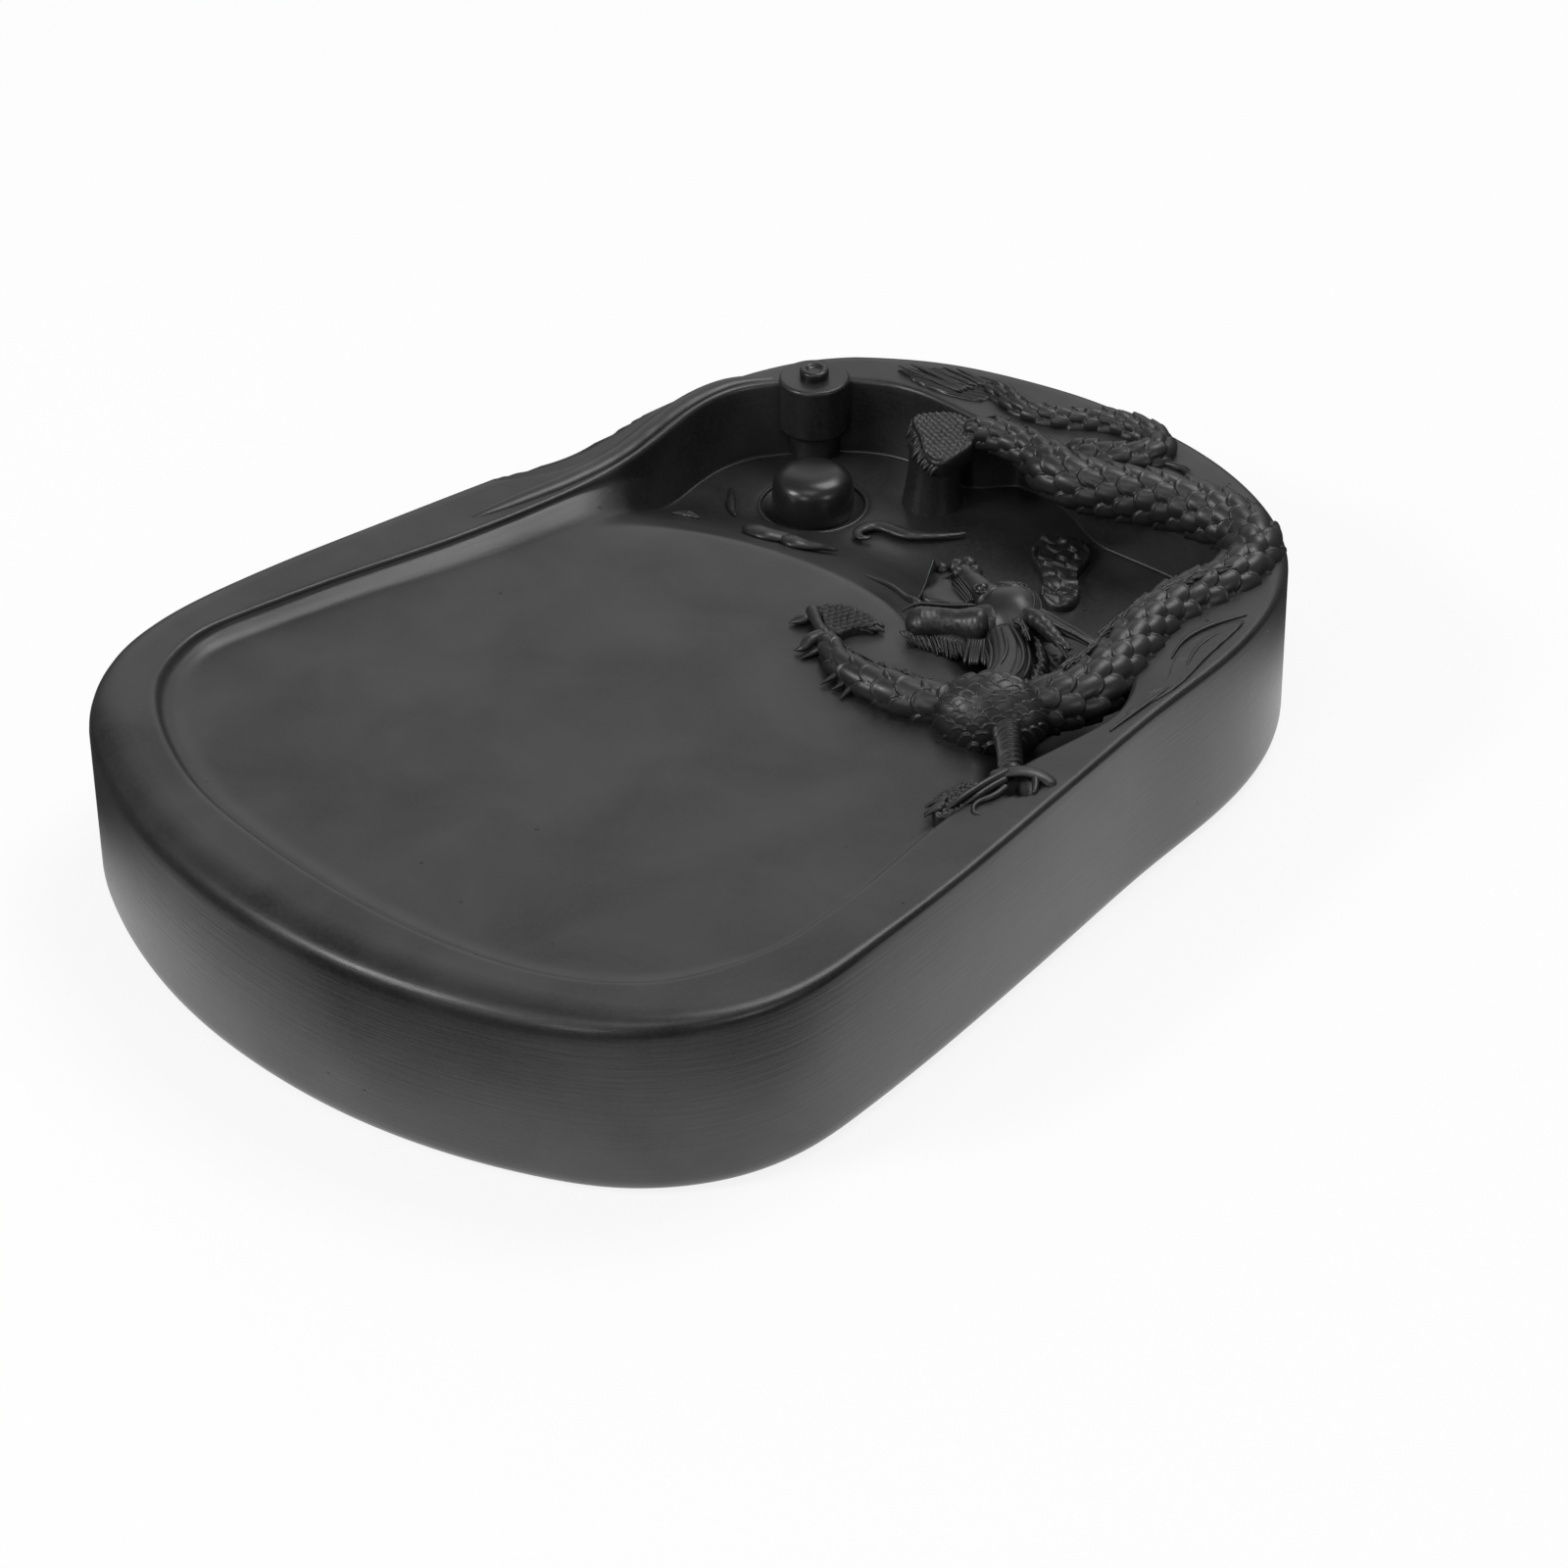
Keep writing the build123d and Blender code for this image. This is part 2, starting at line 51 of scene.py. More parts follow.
def splineThrough(points, count, closed=False, finePerKnot=40):
    # Cubic spline through the points, its parameter the length of the chords, its second
    # derivative running on smoothly, read at equal steps of its own length.
    knots = np.asarray(points, float)
    if closed:
        knots = np.vstack([knots, knots[:1]])
    steps = np.linalg.norm(np.diff(knots, axis=0), axis=1)
    at = np.concatenate([[0.0], np.cumsum(steps)])
    size = len(knots)
    slopes = np.diff(knots, axis=0) / steps[:, None]
    matrix = np.zeros((size, size))
    right = np.zeros(knots.shape)
    inner = np.arange(1, size - 1)
    matrix[inner, inner - 1] = steps[:-1]
    matrix[inner, inner] = 2 * (steps[:-1] + steps[1:])
    matrix[inner, inner + 1] = steps[1:]
    right[1:-1] = 6 * (slopes[1:] - slopes[:-1])
    matrix[0, 0] = matrix[-1, -1] = 1
    if closed:
        matrix[0, 0] = 2 * (steps[0] + steps[-1])
        matrix[0, 1] = steps[0]
        matrix[0, size - 2] = steps[-1]
        right[0] = 6 * (slopes[0] - slopes[-1])
        matrix[-1, 0] = -1
    bend = np.linalg.solve(matrix, right)

    def read(where):
        index = np.clip(np.searchsorted(at, where, side="right") - 1, 0, size - 2)
        step = steps[index][:, None]
        after = (where - at[index])[:, None] / step
        before = 1 - after
        curve = (before ** 3 - before) * bend[index] + (after ** 3 - after) * bend[index + 1]
        return before * knots[index] + after * knots[index + 1] + curve * step ** 2 / 6

    fine = np.linspace(0, at[-1], size * finePerKnot)
    line = read(fine)
    length = np.concatenate([[0.0], np.cumsum(np.linalg.norm(np.diff(line, axis=0), axis=1))])
    wanted = np.linspace(0, length[-1], count + 1)[:-1] if closed else np.linspace(0, length[-1], count)
    return read(np.interp(wanted, length, fine))


def smoothBetween(low, high, value):
    # 0 below low, 1 above high, 3t^2 - 2t^3 between them.
    share = np.clip((value - low) / (high - low), 0, 1)
    return share * share * (3 - 2 * share)


def rumple(points, grain, seed, waveCount=7):
    # Gentle unevenness about 0: the mean of seven sine waves across the points, each about a
    # grain long, their ways and starts drawn from a fixed seed.
    generator = np.random.default_rng(seed)
    waves = generator.normal(size=(waveCount, points.shape[-1]))
    waves /= np.linalg.norm(waves, axis=1)[:, None]
    turns = generator.uniform(0, 2 * np.pi, waveCount)
    rates = 2 * np.pi / (grain * generator.uniform(0.7, 1.4, waveCount))
    return np.sin(points @ (waves * rates[:, None]).T + turns).mean(axis=-1)


def aroundLimb(along, turn, reach):
    # Length along a limb and share of a turn as plan points; reach is the length of one turn.
    return np.stack([along, turn * reach], -1)


def bumps(size, grain, seed):
    # Relief for an egg or a plate: size * unevenness of its points.
    return lambda points: size * rumple(points, grain, seed)


def limbBumps(size, grain, seed, reach=6):
    # Relief for a limb: size * unevenness of the length along it and the turn round it.
    return lambda along, turn: size * rumple(aroundLimb(along, turn, reach), grain, seed)


def unit(vectors):
    # Each vector divided by its own length.
    return vectors / np.maximum(np.linalg.norm(vectors, axis=-1, keepdims=True), tiny)


def level(points, height):
    # Plan points with one height added.
    points = np.asarray(points, float)
    return np.concatenate([points, np.full((len(points), 1), float(height))], -1)


# Surfaces, each given as its points, quads, triangles and the height of its relief

def tubeFaces(bodies, rows, around):
    # Quads between neighbouring rings, and a fan from each end ring to its pole.
    # Vertices: every ring of every body, then a first pole and a last pole for each body.
    body, row, turn = np.meshgrid(np.arange(bodies), np.arange(rows - 1), np.arange(around), indexing="ij")
    base = body * rows * around + row * around
    after = (turn + 1) % around
    quads = np.stack([base + turn, base + after, base + around + after, base + around + turn], -1)
    body, turn = np.meshgrid(np.arange(bodies), np.arange(around), indexing="ij")
    after = (turn + 1) % around
    start = body * rows * around
    end = start + (rows - 1) * around
    pole = bodies * rows * around + 2 * body
    first = np.stack([pole, start + after, start + turn], -1)
    last = np.stack([pole + 1, end + turn, end + after], -1)
    return quads.reshape(-1, 4), np.concatenate([first.reshape(-1, 3), last.reshape(-1, 3)])


def sweep(paths, wide, tall, around, relief=None, thinFade=3):
    # Point (s, a) = path(s) + cos a * (wide + relief) * side + sin a * (tall + relief) * lift.
    # side is level and square to the path, lift is square to both.
    # relief takes the length along the path and the share of a turn, and gives millimetres; it
    # fades where the body is thinner than its widest place divided by thinFade.
    paths = np.asarray(paths, float)
    if paths.ndim == 2:
        paths = paths[None]
    bodies, rows, _ = paths.shape
    wide = np.broadcast_to(np.asarray(wide, float), (bodies, rows))
    tall = np.broadcast_to(np.asarray(tall, float), (bodies, rows))
    along = unit(np.gradient(paths, axis=1))
    side = unit(np.cross(along, [0.0, 0.0, 1.0]))
    lift = np.cross(side, along)
    steps = np.linalg.norm(np.diff(paths, axis=1), axis=2)
    length = np.concatenate([np.zeros((bodies, 1)), np.cumsum(steps, axis=1)], axis=1)
    turn = np.arange(around) / around
    angle = 2 * np.pi * turn
    height = np.zeros((bodies, rows, around))
    if relief is not None:
        height = relief(length[:, :, None] + 0 * turn, turn + 0 * length[:, :, None])
        thin = np.minimum(wide, tall) / np.maximum(wide.max(), tiny)
        height = height * np.minimum(1, thin * thinFade)[:, :, None]
    out = np.cos(angle) * (wide[:, :, None] + height)
    rise = np.sin(angle) * (tall[:, :, None] + height)
    rings = paths[:, :, None] + out[..., None] * side[:, :, None] + rise[..., None] * lift[:, :, None]
    poles = np.stack([rings[:, 0].mean(axis=1), rings[:, -1].mean(axis=1)], axis=1)
    vertices = np.concatenate([rings.reshape(-1, 3), poles.reshape(-1, 3)])
    quads, fans = tubeFaces(bodies, rows, around)
    edge = np.stack([height[:, 0].mean(axis=1), height[:, -1].mean(axis=1)], axis=1)
    return vertices, quads, fans, np.concatenate([height.ravel(), edge.ravel()])


def egg(centre, size, turn, rows, around, relief=None):
    # Point (a, b) = centre + size * (sin a cos b, sin a sin b, cos a), turned about Z by turn
    # degrees and pushed outwards by relief, which takes the points and gives millimetres.
    polar = np.linspace(0, np.pi, rows + 2)[1:-1]
    turns = 2 * np.pi * np.arange(around) / around
    ball = np.stack([np.sin(polar)[:, None] * np.cos(turns), np.sin(polar)[:, None] * np.sin(turns),
                     np.cos(polar)[:, None] + 0 * turns], -1).reshape(-1, 3)
    ball = np.concatenate([ball, [[0, 0, 1]], [[0, 0, -1]]])
    outward = unit(ball / np.asarray(size))
    angle = math.radians(turn)
    spin = np.array([[math.cos(angle), math.sin(angle), 0], [-math.sin(angle), math.cos(angle), 0],
                     [0, 0, 1]])
    vertices = (ball * size) @ spin + centre
    height = np.zeros(len(vertices)) if relief is None else relief(vertices)
    vertices = vertices + (outward @ spin) * height[:, None]
    quads, fans = tubeFaces(1, rows, around)
    return vertices, quads, fans, height


def revolve(centre, profile, around, closed=False):
    # Ring of the profile's (radius, height) points about the upright line through centre; a
    # closed profile makes a ring without poles.
    profile = np.asarray(profile, float)
    turns = 2 * np.pi * np.arange(around) / around
    rings = np.stack([profile[:, :1] * np.cos(turns), profile[:, :1] * np.sin(turns),
                      profile[:, 1:] + 0 * turns], -1) + np.array([*centre, 0.0])
    quads, fans = tubeFaces(1, len(profile), around)
    if closed:
        turn = np.arange(around)
        after = (turn + 1) % around
        last = (len(profile) - 1) * around
        quads = np.concatenate([quads, np.stack([last + turn, last + after, after, turn], -1)])
        return rings.reshape(-1, 3), quads, np.zeros((0, 3), int), np.zeros(len(profile) * around)
    poles = np.array([rings[0].mean(axis=0), rings[-1].mean(axis=0)])
    vertices = np.concatenate([rings.reshape(-1, 3), poles])
    return vertices, quads, fans, np.zeros(len(vertices))


def plate(outline, low, high, edge, rows, relief=None, around=150, bendRows=6, lift=0.05):
    # Upright wall from low to high round a closed spline, a quarter round of the edge's size
    # at its top, then rings that shrink to the middle; the top carries the relief.
    outline = splineThrough(outline, around, True)
    middle = outline.mean(axis=0)
    reach = np.linalg.norm(outline - middle, axis=1).mean()
    bend = np.linspace(0, np.pi / 2, bendRows)[1:]
    shares = np.concatenate([[0.5, 0.98, 1, 1, 1], 1 - edge / reach * (1 - np.cos(bend)),
                             np.linspace(1 - edge / reach, 0, rows + 1)[1:-1]])
    levels = np.concatenate([[low, low, low + lift, (low + high) / 2, high - edge],
                             high - edge * (1 - np.sin(bend)), np.full(rows - 1, high)])
    rings = middle + shares[:, None, None] * (outline - middle)
    rings = np.concatenate([rings, np.broadcast_to(levels[:, None, None], rings.shape[:2] + (1,))], -1)
    poles = np.array([[*middle, low], [*middle, high]])
    vertices = np.concatenate([rings.reshape(-1, 3), poles])
    onTop = smoothBetween(high - edge * 1.4, high, vertices[:, 2])
    height = np.zeros(len(vertices)) if relief is None else relief(vertices[:, :2]) * onTop
    vertices[:, 2] += height
    quads, fans = tubeFaces(1, len(shares), around)
    return vertices, quads, fans, height


def together(*surfaces):
    # Several closed surfaces as the shells of one mesh: each one's faces count on from the last.
    vertices, quads, fans, heights, start = [], [], [], [], 0
    for points, four, three, height in surfaces:
        vertices.append(points)
        quads.append(four + start)
        fans.append(three + start)
        heights.append(height)
        start += len(points)
    return tuple(np.concatenate(part) for part in (vertices, quads, fans, heights))


def strands(roots, middles, tips, thick, thin, rows=12, around=6):
    # Hairs: P(t) = (1-t)^2 root + 2t(1-t) middle + t^2 tip, a round that thins from thick to thin.
    share = np.linspace(0, 1, rows)[None, :, None]
    roots, middles, tips = (np.asarray(part, float)[:, None] for part in (roots, middles, tips))
    paths = (1 - share) ** 2 * roots + 2 * share * (1 - share) * middles + share ** 2 * tips
    taper = np.sqrt(np.clip(np.minimum(share, 1.02 - share)[..., 0] * 12, 0.05, 1))
    radius = (thick + (thin - thick) * share[..., 0]) * taper
    radius = np.broadcast_to(radius, paths.shape[:2])
    vertices, quads, fans, height = sweep(paths, radius, radius, around)
    return vertices, quads, fans, height + 0.35  # hairs count as a crest, so they get the painted highlight


def roundedEnds(path, radius):
    # Share of the radius that shrinks as a ball does over one radius at each end.
    steps = np.linalg.norm(np.diff(path, axis=0), axis=1)
    length = np.concatenate([[0.0], np.cumsum(steps)])
    fall = np.minimum(np.clip(length / radius, 0, 1), np.clip((length[-1] - length) / radius, 0, 1))
    return np.sqrt(np.clip(1 - (1 - fall) ** 2, 0.0004, 1))


def spread(values, count):
    # A short list of values read evenly at count places.
    return np.interp(np.linspace(0, 1, count), np.linspace(0, 1, len(values)), values)


def limb(points, radii, rows, around, relief=None, flat=1.0, cap=None):
    # Round body along the spline of its points, its radius read evenly from the list of radii;
    # flat is the share of height to width, cap the length of its rounded ends.
    path = splineThrough(points, rows)
    radius = spread(radii, rows) * roundedEnds(path, cap or max(radii[0], radii[-1]))
    return sweep(path, radius, radius * flat, around, relief)


def cord(line, radii, rows=60, around=8):
    # Thin round ridge along given points.
    return limb(line, radii, rows, around)


def fringe(roots, tips, count, thick, thin, bow=(0, 0, 0), seed=1, stray=0.12):
    # Hairs side by side, from one line to another, each bowed by the same vector; their ends stray.
    generator = np.random.default_rng(seed)
    roots = splineThrough(roots, count) + generator.normal(0, stray, (count, 3))
    tips = splineThrough(tips, count) + generator.normal(0, stray * 2, (count, 3))
    return strands(roots, (roots + tips) / 2 + np.asarray(bow), tips, thick, thin)


def creepers(line, count, reach, stray, thick, thin, seed, lift=0.0, fine=400):
    # Hairs that lie along a line: each starts at its own place, runs its reach and strays a little.
    generator = np.random.default_rng(seed)
    path = splineThrough(line, fine)
    start = np.linspace(0, 1 - reach, count)
    away = generator.normal(0, stray, (3, count, 3)) * [1, 1, 0.5]
    roots, middles, tips = (
        path[(np.clip(start + reach * part, 0, 1) * (fine - 1)).round().astype(int)] + away[index]
        for index, part in enumerate((0, 0.5, 1)))
    return strands(roots, middles + [0, 0, lift], tips, thick, thin)


def drape(points, path, radius, over=0.0):
    # Plan points lifted onto the round body along a path: z = path z + sqrt(radius^2 - away^2).
    line = splineThrough(points, 90)
    spine = splineThrough(path, 300)
    away = np.linalg.norm(line[:, None, :2] - spine[None, :, :2], axis=2)
    near = away.argmin(axis=1)
    reach = np.minimum(away.min(axis=1), radius * 0.97)
    return np.column_stack([line[:, :2], spine[near, 2] + np.sqrt(radius ** 2 - reach ** 2) + over])


def onEgg(points, centre, size, turn, over=0.0):
    # Plan points lifted onto an egg's upper side: z = centre z + height * sqrt(1 - u^2 - v^2).
    line = splineThrough(points, 90)[:, :2]
    angle = math.radians(turn)
    away = line - np.asarray(centre)[:2]
    across = (away[:, 0] * math.cos(angle) + away[:, 1] * math.sin(angle)) / size[0]
    along = (-away[:, 0] * math.sin(angle) + away[:, 1] * math.cos(angle)) / size[1]
    rise = np.sqrt(np.clip(1 - across ** 2 - along ** 2, 0.02, 1)) * size[2]
    return np.column_stack([line, centre[2] + rise + over])


scaleForm = {"edge": 0.16, "lipBack": 0.1, "lipWide": 0.07, "domeAt": 0.62, "domeReach": 0.75,
             "domePower": 2.2}


def scales(row, cell, reach, rise, dome, tipStart=0.5, lip=0.0):
    # Overlapping cushions. Each starts at its own row and is reach rows long; it rises by rise to
    # its round tip, bulges by dome in its middle and ends in a lip; where cushions overlap, the
    # highest shows.
    height = np.zeros(np.broadcast(row, cell).shape)
    for back in range(int(math.ceil(reach)) + 1):
        index = np.floor(row) - back
        across = cell + 0.5 * (index % 2)
        across = (across - np.floor(across) - 0.5) * 2
        forward = (row - index) / reach
        tip = tipStart + (1 - tipStart) * np.sqrt(np.clip(1 - across ** 2, 0, 1))
        edge = np.clip((tip - forward) / scaleForm["edge"], 0, 1)
        edge = edge * (2 - edge)
        rim = lip * np.exp(-((tip - forward - scaleForm["lipBack"]) / scaleForm["lipWide"]) ** 2)
        crown = np.clip(1 - ((forward - scaleForm["domeAt"]) / scaleForm["domeReach"]) ** 2, 0, 1)
        bulge = (1 - np.abs(across) ** scaleForm["domePower"]) * crown
        height = np.maximum(height, (rise * forward + dome * bulge + rim) * edge)
    return height


# Finishes

def colour(code):
    # sRGB hex to linear light.
    parts = np.array([int(code[start:start + 2], 16) for start in (1, 3, 5)]) / 255
    linear = np.where(parts <= 0.04045, parts / 12.92, ((parts + 0.055) / 1.055) ** 2.4)
    return (*linear.tolist(), 1.0)


def addNode(tree, kind, settings=None, links=None):
    # One node: its own settings by name, its sockets' values by name or number, then its links.
    node = tree.nodes.new(kind)
    for key, value in (settings or {}).items():
        if isinstance(key, str) and hasattr(node, key):
            setattr(node, key, value)
        else:
            node.inputs[key].default_value = value
    for key, source in (links or {}).items():
        tree.links.new(source, node.inputs[key])
    return node


def perMetre(size):
    # Texture scale that gives features of this size in millimetres.
    return 1 / (size * millimetre)


# Sizes are in millimetres. Real grit is about 0.05 mm and real rubbing marks about 0.1 mm wide;
# both are drawn some ten times coarser, so that they show.
# Of these, the lighter grey that the crest attribute mixes in, with its From, To and Share, is a painted
# highlight.
slabLook = {
    "dark": "#181818", "light": "#303030", "fleck": "#383838", "paintedHighlight": "#3c3c3c", "pit": "#0c0c0c",
    "cloudSize": 16.0, "cloudDetail": 5.0, "cloudRough": 0.55, "cloudTwist": 0.4,
    "mottleFrom": 0.35, "mottleTo": 0.65,
    "grainSize": 0.5, "grainDetail": 6.0, "grainRough": 0.65, "grainStrength": 0.2, "grainDepth": 0.05,
    "speckFrom": 0.42, "speckTo": 0.7, "speck": 0.35,
    "brushSize": 1.0, "brushStretch": (0.07, 0.07, 2.2), "brushDetail": 4.0, "brushRough": 0.6,
    "brushStrength": 0.4, "brushDepth": 0.08,
    "pitGap": 7.0, "pitSize": 0.035, "pitStart": 0.4, "pitStrength": 0.6, "pitDepth": 0.25,
    "highlightFrom": 0.2, "highlightTo": 1.0, "highlightShare": 0.2,
    "roughLow": 0.30, "roughHigh": 0.44, "ior": 1.54,
}
# The carving is more even than the slab, without pits, and its raised crests get a stronger painted
# highlight.
carvedLook = dict(
    slabLook, dark="#1c1c1c", light="#252525", fleck="#2c2c2c", paintedHighlight="#404040", pit="#141414",
    cloudSize=6.0, grainSize=0.6, grainStrength=0.05,
    brushStretch=(1, 1, 1), brushSize=1.3, brushStrength=0.25, brushDepth=0.08,
    pitGap=2.5, pitSize=0.0, highlightFrom=0.3, highlightTo=1.0, highlightShare=0.3, roughLow=0.32, roughHigh=0.46)
pearlLook = dict(
    carvedLook, dark="#1a1a1a", light="#202020", speck=0.15, roughLow=0.27, roughHigh=0.33,
    grainStrength=0.03, brushStrength=0.03)


def carvedBlackStone(name, look):
    # Fine black slate, cut with chisels, rubbed smooth, then oiled and waxed by hand: near black,
    # with grey painted on raised crests as a highlight, a soft sheen, faint cloudy mottling and tiny pits.
    material = bpy.data.materials.new(name)
    material.use_nodes = True
    tree = material.node_tree
    tree.nodes.clear()
    place = addNode(tree, "ShaderNodeTexCoord").outputs["Object"]

    clouds = addNode(tree, "ShaderNodeTexNoise", {
        "Scale": perMetre(look["cloudSize"]), "Detail": look["cloudDetail"], "Roughness": look["cloudRough"],
        "Distortion": look["cloudTwist"]}, {"Vector": place})
    grain = addNode(tree, "ShaderNodeTexNoise", {
        "Scale": perMetre(look["grainSize"]), "Detail": look["grainDetail"],
        "Roughness": look["grainRough"]}, {"Vector": place})
    brushPlace = addNode(tree, "ShaderNodeMapping", {"Scale": look["brushStretch"]}, {"Vector": place})
    brush = addNode(tree, "ShaderNodeTexNoise", {
        "Scale": perMetre(look["brushSize"]), "Detail": look["brushDetail"],
        "Roughness": look["brushRough"]}, {"Vector": brushPlace.outputs[0]})
    pits = addNode(tree, "ShaderNodeTexVoronoi", {"Scale": perMetre(look["pitGap"]), "Randomness": 1.0},
                   {"Vector": place})
    pitShare = addNode(tree, "ShaderNodeMapRange", {
        "From Min": look["pitSize"] * look["pitStart"], "From Max": look["pitSize"],
        "To Min": 1.0, "To Max": 0.0}, {"Value": pits.outputs["Distance"]})
    # Painted highlight: the crest attribute, the relief's height, lightens raised parts towards a lighter
    # grey.
    crest = addNode(tree, "ShaderNodeAttribute", {"attribute_name": "crest"}).outputs["Fac"]

    mottle = addNode(tree, "ShaderNodeMapRange", {
        "From Min": look["mottleFrom"], "From Max": look["mottleTo"]}, {"Value": clouds.outputs["Fac"]})
    stone = addNode(tree, "ShaderNodeMix", {
        "data_type": "RGBA", 6: colour(look["dark"]), 7: colour(look["light"])}, {0: mottle.outputs[0]})
    speck = addNode(tree, "ShaderNodeMapRange", {
        "From Min": look["speckFrom"], "From Max": look["speckTo"],
        "To Min": 0.0, "To Max": look["speck"]}, {"Value": grain.outputs["Fac"]})
    flecked = addNode(tree, "ShaderNodeMix", {"data_type": "RGBA", 7: colour(look["fleck"])},
                      {0: speck.outputs[0], 6: stone.outputs[2]})
    # Painted highlight: the share of the lighter grey, read from the crest attribute.
    highlightMask = addNode(tree, "ShaderNodeMapRange", {
        "From Min": look["highlightFrom"], "From Max": look["highlightTo"],
        "To Min": 0.0, "To Max": look["highlightShare"]}, {"Value": crest})
    paintedHighlight = addNode(tree, "ShaderNodeMix", {"data_type": "RGBA", 7: colour(look["paintedHighlight"])},
                     {0: highlightMask.outputs[0], 6: flecked.outputs[2]})
    pitted = addNode(tree, "ShaderNodeMix", {"data_type": "RGBA", 7: colour(look["pit"])},
                     {0: pitShare.outputs[0], 6: paintedHighlight.outputs[2]})

    rough = addNode(tree, "ShaderNodeMapRange", {"To Min": look["roughLow"], "To Max": look["roughHigh"]},
                    {"Value": grain.outputs["Fac"]})
    bump = addNode(tree, "ShaderNodeBump", {
        "Strength": look["grainStrength"], "Distance": look["grainDepth"] * millimetre},
        {"Height": grain.outputs["Fac"]})
    bump = addNode(tree, "ShaderNodeBump", {
        "Strength": look["brushStrength"], "Distance": look["brushDepth"] * millimetre},
        {"Height": brush.outputs["Fac"], "Normal": bump.outputs[0]})
    bump = addNode(tree, "ShaderNodeBump", {
        "Strength": look["pitStrength"], "Distance": look["pitDepth"] * millimetre, "invert": True},
        {"Height": pitShare.outputs[0], "Normal": bump.outputs[0]})
    shader = addNode(tree, "ShaderNodeBsdfPrincipled", {"IOR": look["ior"], "Metallic": 0.0},
                     {"Base Color": pitted.outputs[2], "Roughness": rough.outputs[0],
                      "Normal": bump.outputs[0]})
    addNode(tree, "ShaderNodeOutputMaterial", None, {"Surface": shader.outputs[0]})
    return material


slabStone = carvedBlackStone("rubbedBlackSlate", slabLook)
carvedStone = carvedBlackStone("chiselledBlackSlate", carvedLook)
pearlStone = carvedBlackStone("polishedBlackSlate", pearlLook)
print("finishes made")


def addPiece(name, surface, material, slotName, *nodes):
    # Puts a surface into a mesh of its own, its faces turned outwards by the sign of its volume.
    vertices, quads, fans, height = surface
    triangles = np.concatenate([fans, quads[:, [0, 1, 2]], quads[:, [0, 2, 3]]])
    corners = vertices[triangles]
    volume = np.einsum("ij,ij->i", corners[:, 0], np.cross(corners[:, 1], corners[:, 2])).sum()
    if volume < 0:
        quads, fans = quads[:, ::-1], fans[:, ::-1]
    mesh = bpy.data.meshes.new(name)
    mesh.from_pydata((vertices * millimetre).tolist(), [], quads.tolist() + fans.tolist())
    mesh.polygons.foreach_set("use_smooth", np.ones(len(mesh.polygons), bool))
    # The relief height goes out as the crest attribute; the finishes use it to paint raised parts lighter, a
    # painted highlight.
    mesh.attributes.new("crest", "FLOAT", "POINT").data.foreach_set("value", height.astype(np.float32))
    mesh.materials.append(material)
    piece = bpy.data.objects.new(name, mesh)
    bpy.context.scene.collection.objects.link(piece)
    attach(piece, "root")
    if nodes:
        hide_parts(*nodes)


def addCarving(name, surface, *nodes):
    # A piece of the relief, in the chiselled finish.
    addPiece(name, surface, carvedStone, "carved_stone", *nodes)


# The block. Its outline and its crest, the inner edge of the rim, are shares of the half sizes.

